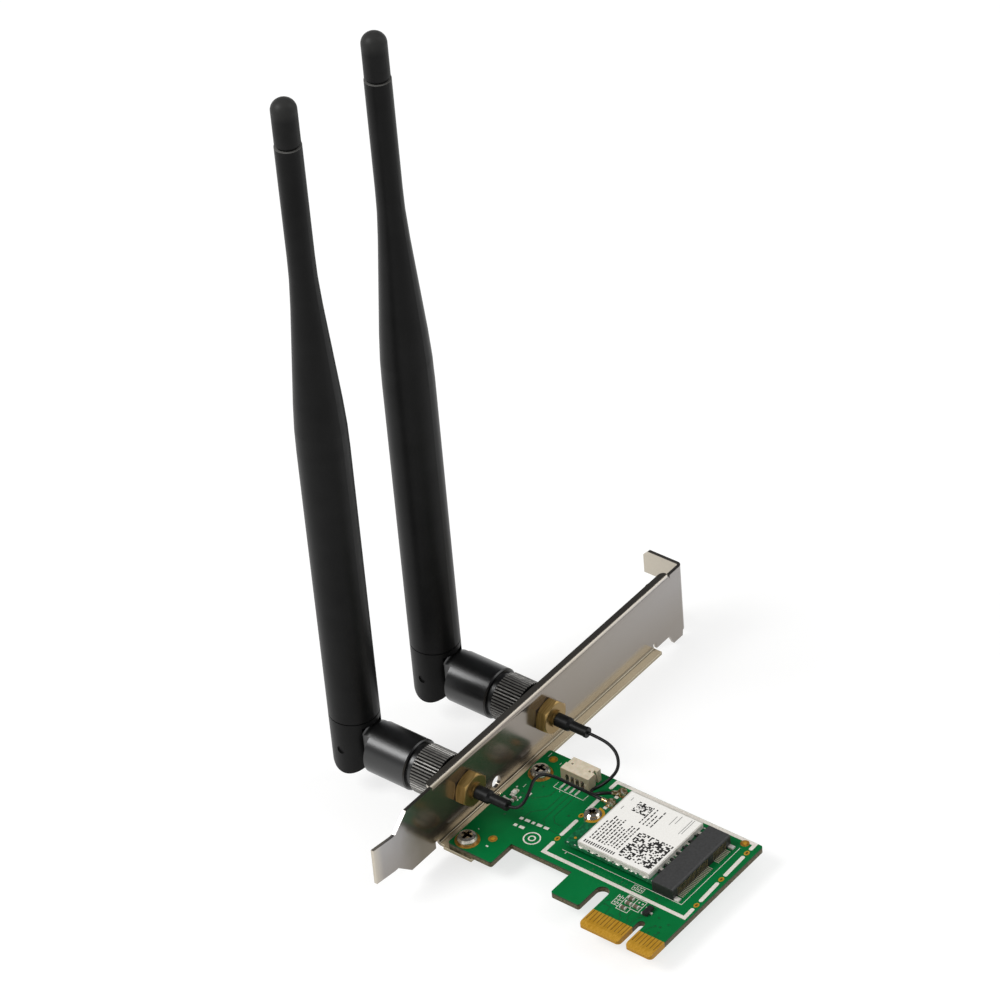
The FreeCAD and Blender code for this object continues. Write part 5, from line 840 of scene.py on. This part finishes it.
def rows_of_bars(first, last, start, end, count, seed, short=0.35, long=1.3):
    """Broken bars along Y in a number of rows between two X places, in millimetres"""
    chance = random.Random(seed)
    bars = []
    for k in range(count):
        x = first + (last - first) * k / max(count - 1, 1)
        y = start + chance.uniform(0, 0.5)
        stop = end - chance.choice((0.0, 0.6, 2.4))
        while y < stop:
            size = chance.uniform(short, long)
            bars.append([(x, y), (x, min(y + size, stop + 0.2))])
            y += size + chance.uniform(0.22, 0.4)
    return bars


row_bars = lines_on(rows_of_bars(-24.7, -17.0, 21.2, 30.6, count=10, seed=3),
                    width=0.36, low=label_top, thick=print_thick)
fit(row_bars, "label_rows", black_ink)
# a row of ticks, 0.64 mm apart
ticks = [[(x / 100, 19.5), (x / 100, 20.5)] for x in range(-2510, -1650, 64)]
heavy = lines_on(ticks, width=0.34, low=label_top, thick=print_thick)
fit(heavy, "label_ticks", black_ink)
side_bars = lines_on(rows_of_bars(-18.1, -15.0, 31.6, 38.2, count=4, seed=8, short=0.5, long=1.8),
                     width=0.34, low=label_top, thick=print_thick)
fit(side_bars, "label_side_rows", black_ink)
thin_bars = lines_on([[(-11.9, 35.0), (-11.9, 38.4)], [(-10.9, 36.0), (-10.9, 39.0)],
                      [(-8.2, 33.6), (-8.2, 39.2)], [(-7.6, 34.0), (-7.6, 39.4)],
                      [(-24.6, 33.4), (-24.6, 34.6)], [(-24.4, 37.0), (-24.4, 38.2)]],
                     width=0.2, low=label_top, thick=print_thick)
fit(thin_bars, "label_thin_rows", grey_ink)


def mosaic(x, y, columns, rows, cell, seed):
    """A grid of square cells from its low corner, half of them dropped by seeded chance"""
    chance = random.Random(seed)
    bpy.ops.object.select_all(action="DESELECT")
    middle = ((x + columns * cell / 2) / 1000, (y + rows * cell / 2) / 1000, label_top / 1000)
    bpy.ops.mesh.primitive_grid_add(x_subdivisions=columns, y_subdivisions=rows, size=1.0,
                                    location=middle)
    tiles = bpy.context.object
    tiles.scale = (columns * cell / 1000, rows * cell / 1000, 1.0)
    bpy.ops.object.transform_apply(location=True, scale=True)
    bpy.ops.object.mode_set(mode="EDIT")
    bpy.ops.mesh.select_mode(type="FACE")
    mesh = bmesh.from_edit_mesh(tiles.data)
    for face in mesh.faces:
        face.select_set(chance.random() < 0.5)
    bmesh.update_edit_mesh(tiles.data)
    bpy.ops.mesh.delete(type="FACE")
    bpy.ops.object.mode_set(mode="OBJECT")
    raise_face(tiles, print_thick)
    return tiles


large = mosaic(-16.0, 20.2, columns=23, rows=22, cell=0.42, seed=21)
fit(large, "label_mosaic", black_ink)
small = mosaic(-22.3, 34.3, columns=13, rows=12, cell=0.3, seed=33)
fit(small, "label_small_mosaic", black_ink)


# Stage: a plain pale floor under the card, a white room that darkens overhead
# where only metal and gloss mirror it, and two soft lamps.

def seen_directly(material):
    """1 for rays from the camera, from gloss and through glass, and 0 for the light's own"""
    camera_ray = part(material, "LightPath")
    rays = camera_ray.node.outputs
    seen = part(material, "Math", {0: camera_ray, 1: rays["Is Glossy Ray"]}, operation="MAXIMUM")
    return part(material, "Math", {0: seen, 1: rays["Is Transmission Ray"]}, operation="MAXIMUM")


floor_gap = 0.0005
bpy.ops.object.select_all(action="DESELECT")
bpy.ops.mesh.primitive_plane_add(size=6.0, location=(0, 0, cad_box[0][2] - floor_gap))
floor = bpy.context.object
floor.name = "floor"
pale = finish_for("pale floor paint", "F4F4F3", 0.9)[0]
# to the camera, the paint is this share of plain white, and the rest keeps the shadows
white_share = 0.62
white_level = 1.14
share = part(pale, "Math", {0: seen_directly(pale), 1: white_share}, operation="MULTIPLY")
white = part(pale, "Emission", {"Color": colour("FFFFFF"), "Strength": white_level})
paint = pale.node_tree.nodes["Principled BSDF"].outputs[0]
surface = pale.node_tree.nodes["Material Output"].inputs["Surface"]
part(pale, "MixShader", {0: share, 1: paint, 2: white}, surface)
floor.data.materials.append(pale)

room = bpy.data.worlds.new("white room")
bpy.context.scene.world = room
room.use_nodes = True
sky = room.node_tree.nodes["Background"].inputs
# the room lights the card half as strongly as the camera and the metal see it
seen = seen_directly(room)
part(room, "MapRange", {"Value": seen, "To Min": 0.5, "To Max": 1.0}, sky["Strength"])
way = part(room, "TexCoord")
up = part(room, "SeparateXYZ", {"Vector": way}).node.outputs["Z"]
dome = part(room, "ValToRGB", {"Fac": up},
            stops=((0.1, "FBFCFD"), (0.38, "55565A"), (1.0, "3A3B3E")))
mirrored = part(room, "LightPath").node.outputs["Is Glossy Ray"]
part(room, "Mix", {0: mirrored, 6: colour("FFFFFF"), 7: dome}, sky["Color"], data_type="RGBA")

# each lamp is a soft square that faces the card's middle: its place and size in metres, and watts
lit_spot = Vector((-0.04, 0.03, 0.05))
for name, place, size, power in (
        ("window", (-0.6, -0.7, 1.0), 0.56, 11.0),
        ("fill", (0.62, 0.72, 0.75), 0.8, 3.6)):
    soft = bpy.data.lights.new(name, "AREA")
    soft.shape = "SQUARE"
    soft.size = size
    soft.energy = power
    source = bpy.data.objects.new(name, soft)
    bpy.context.scene.collection.objects.link(source)
    source.location = place
    aim = lit_spot - Vector(place)
    source.rotation_mode = "QUATERNION"
    source.rotation_quaternion = aim.to_track_quat("-Z", "Y")

bpy.context.scene.view_settings.view_transform = "Standard"
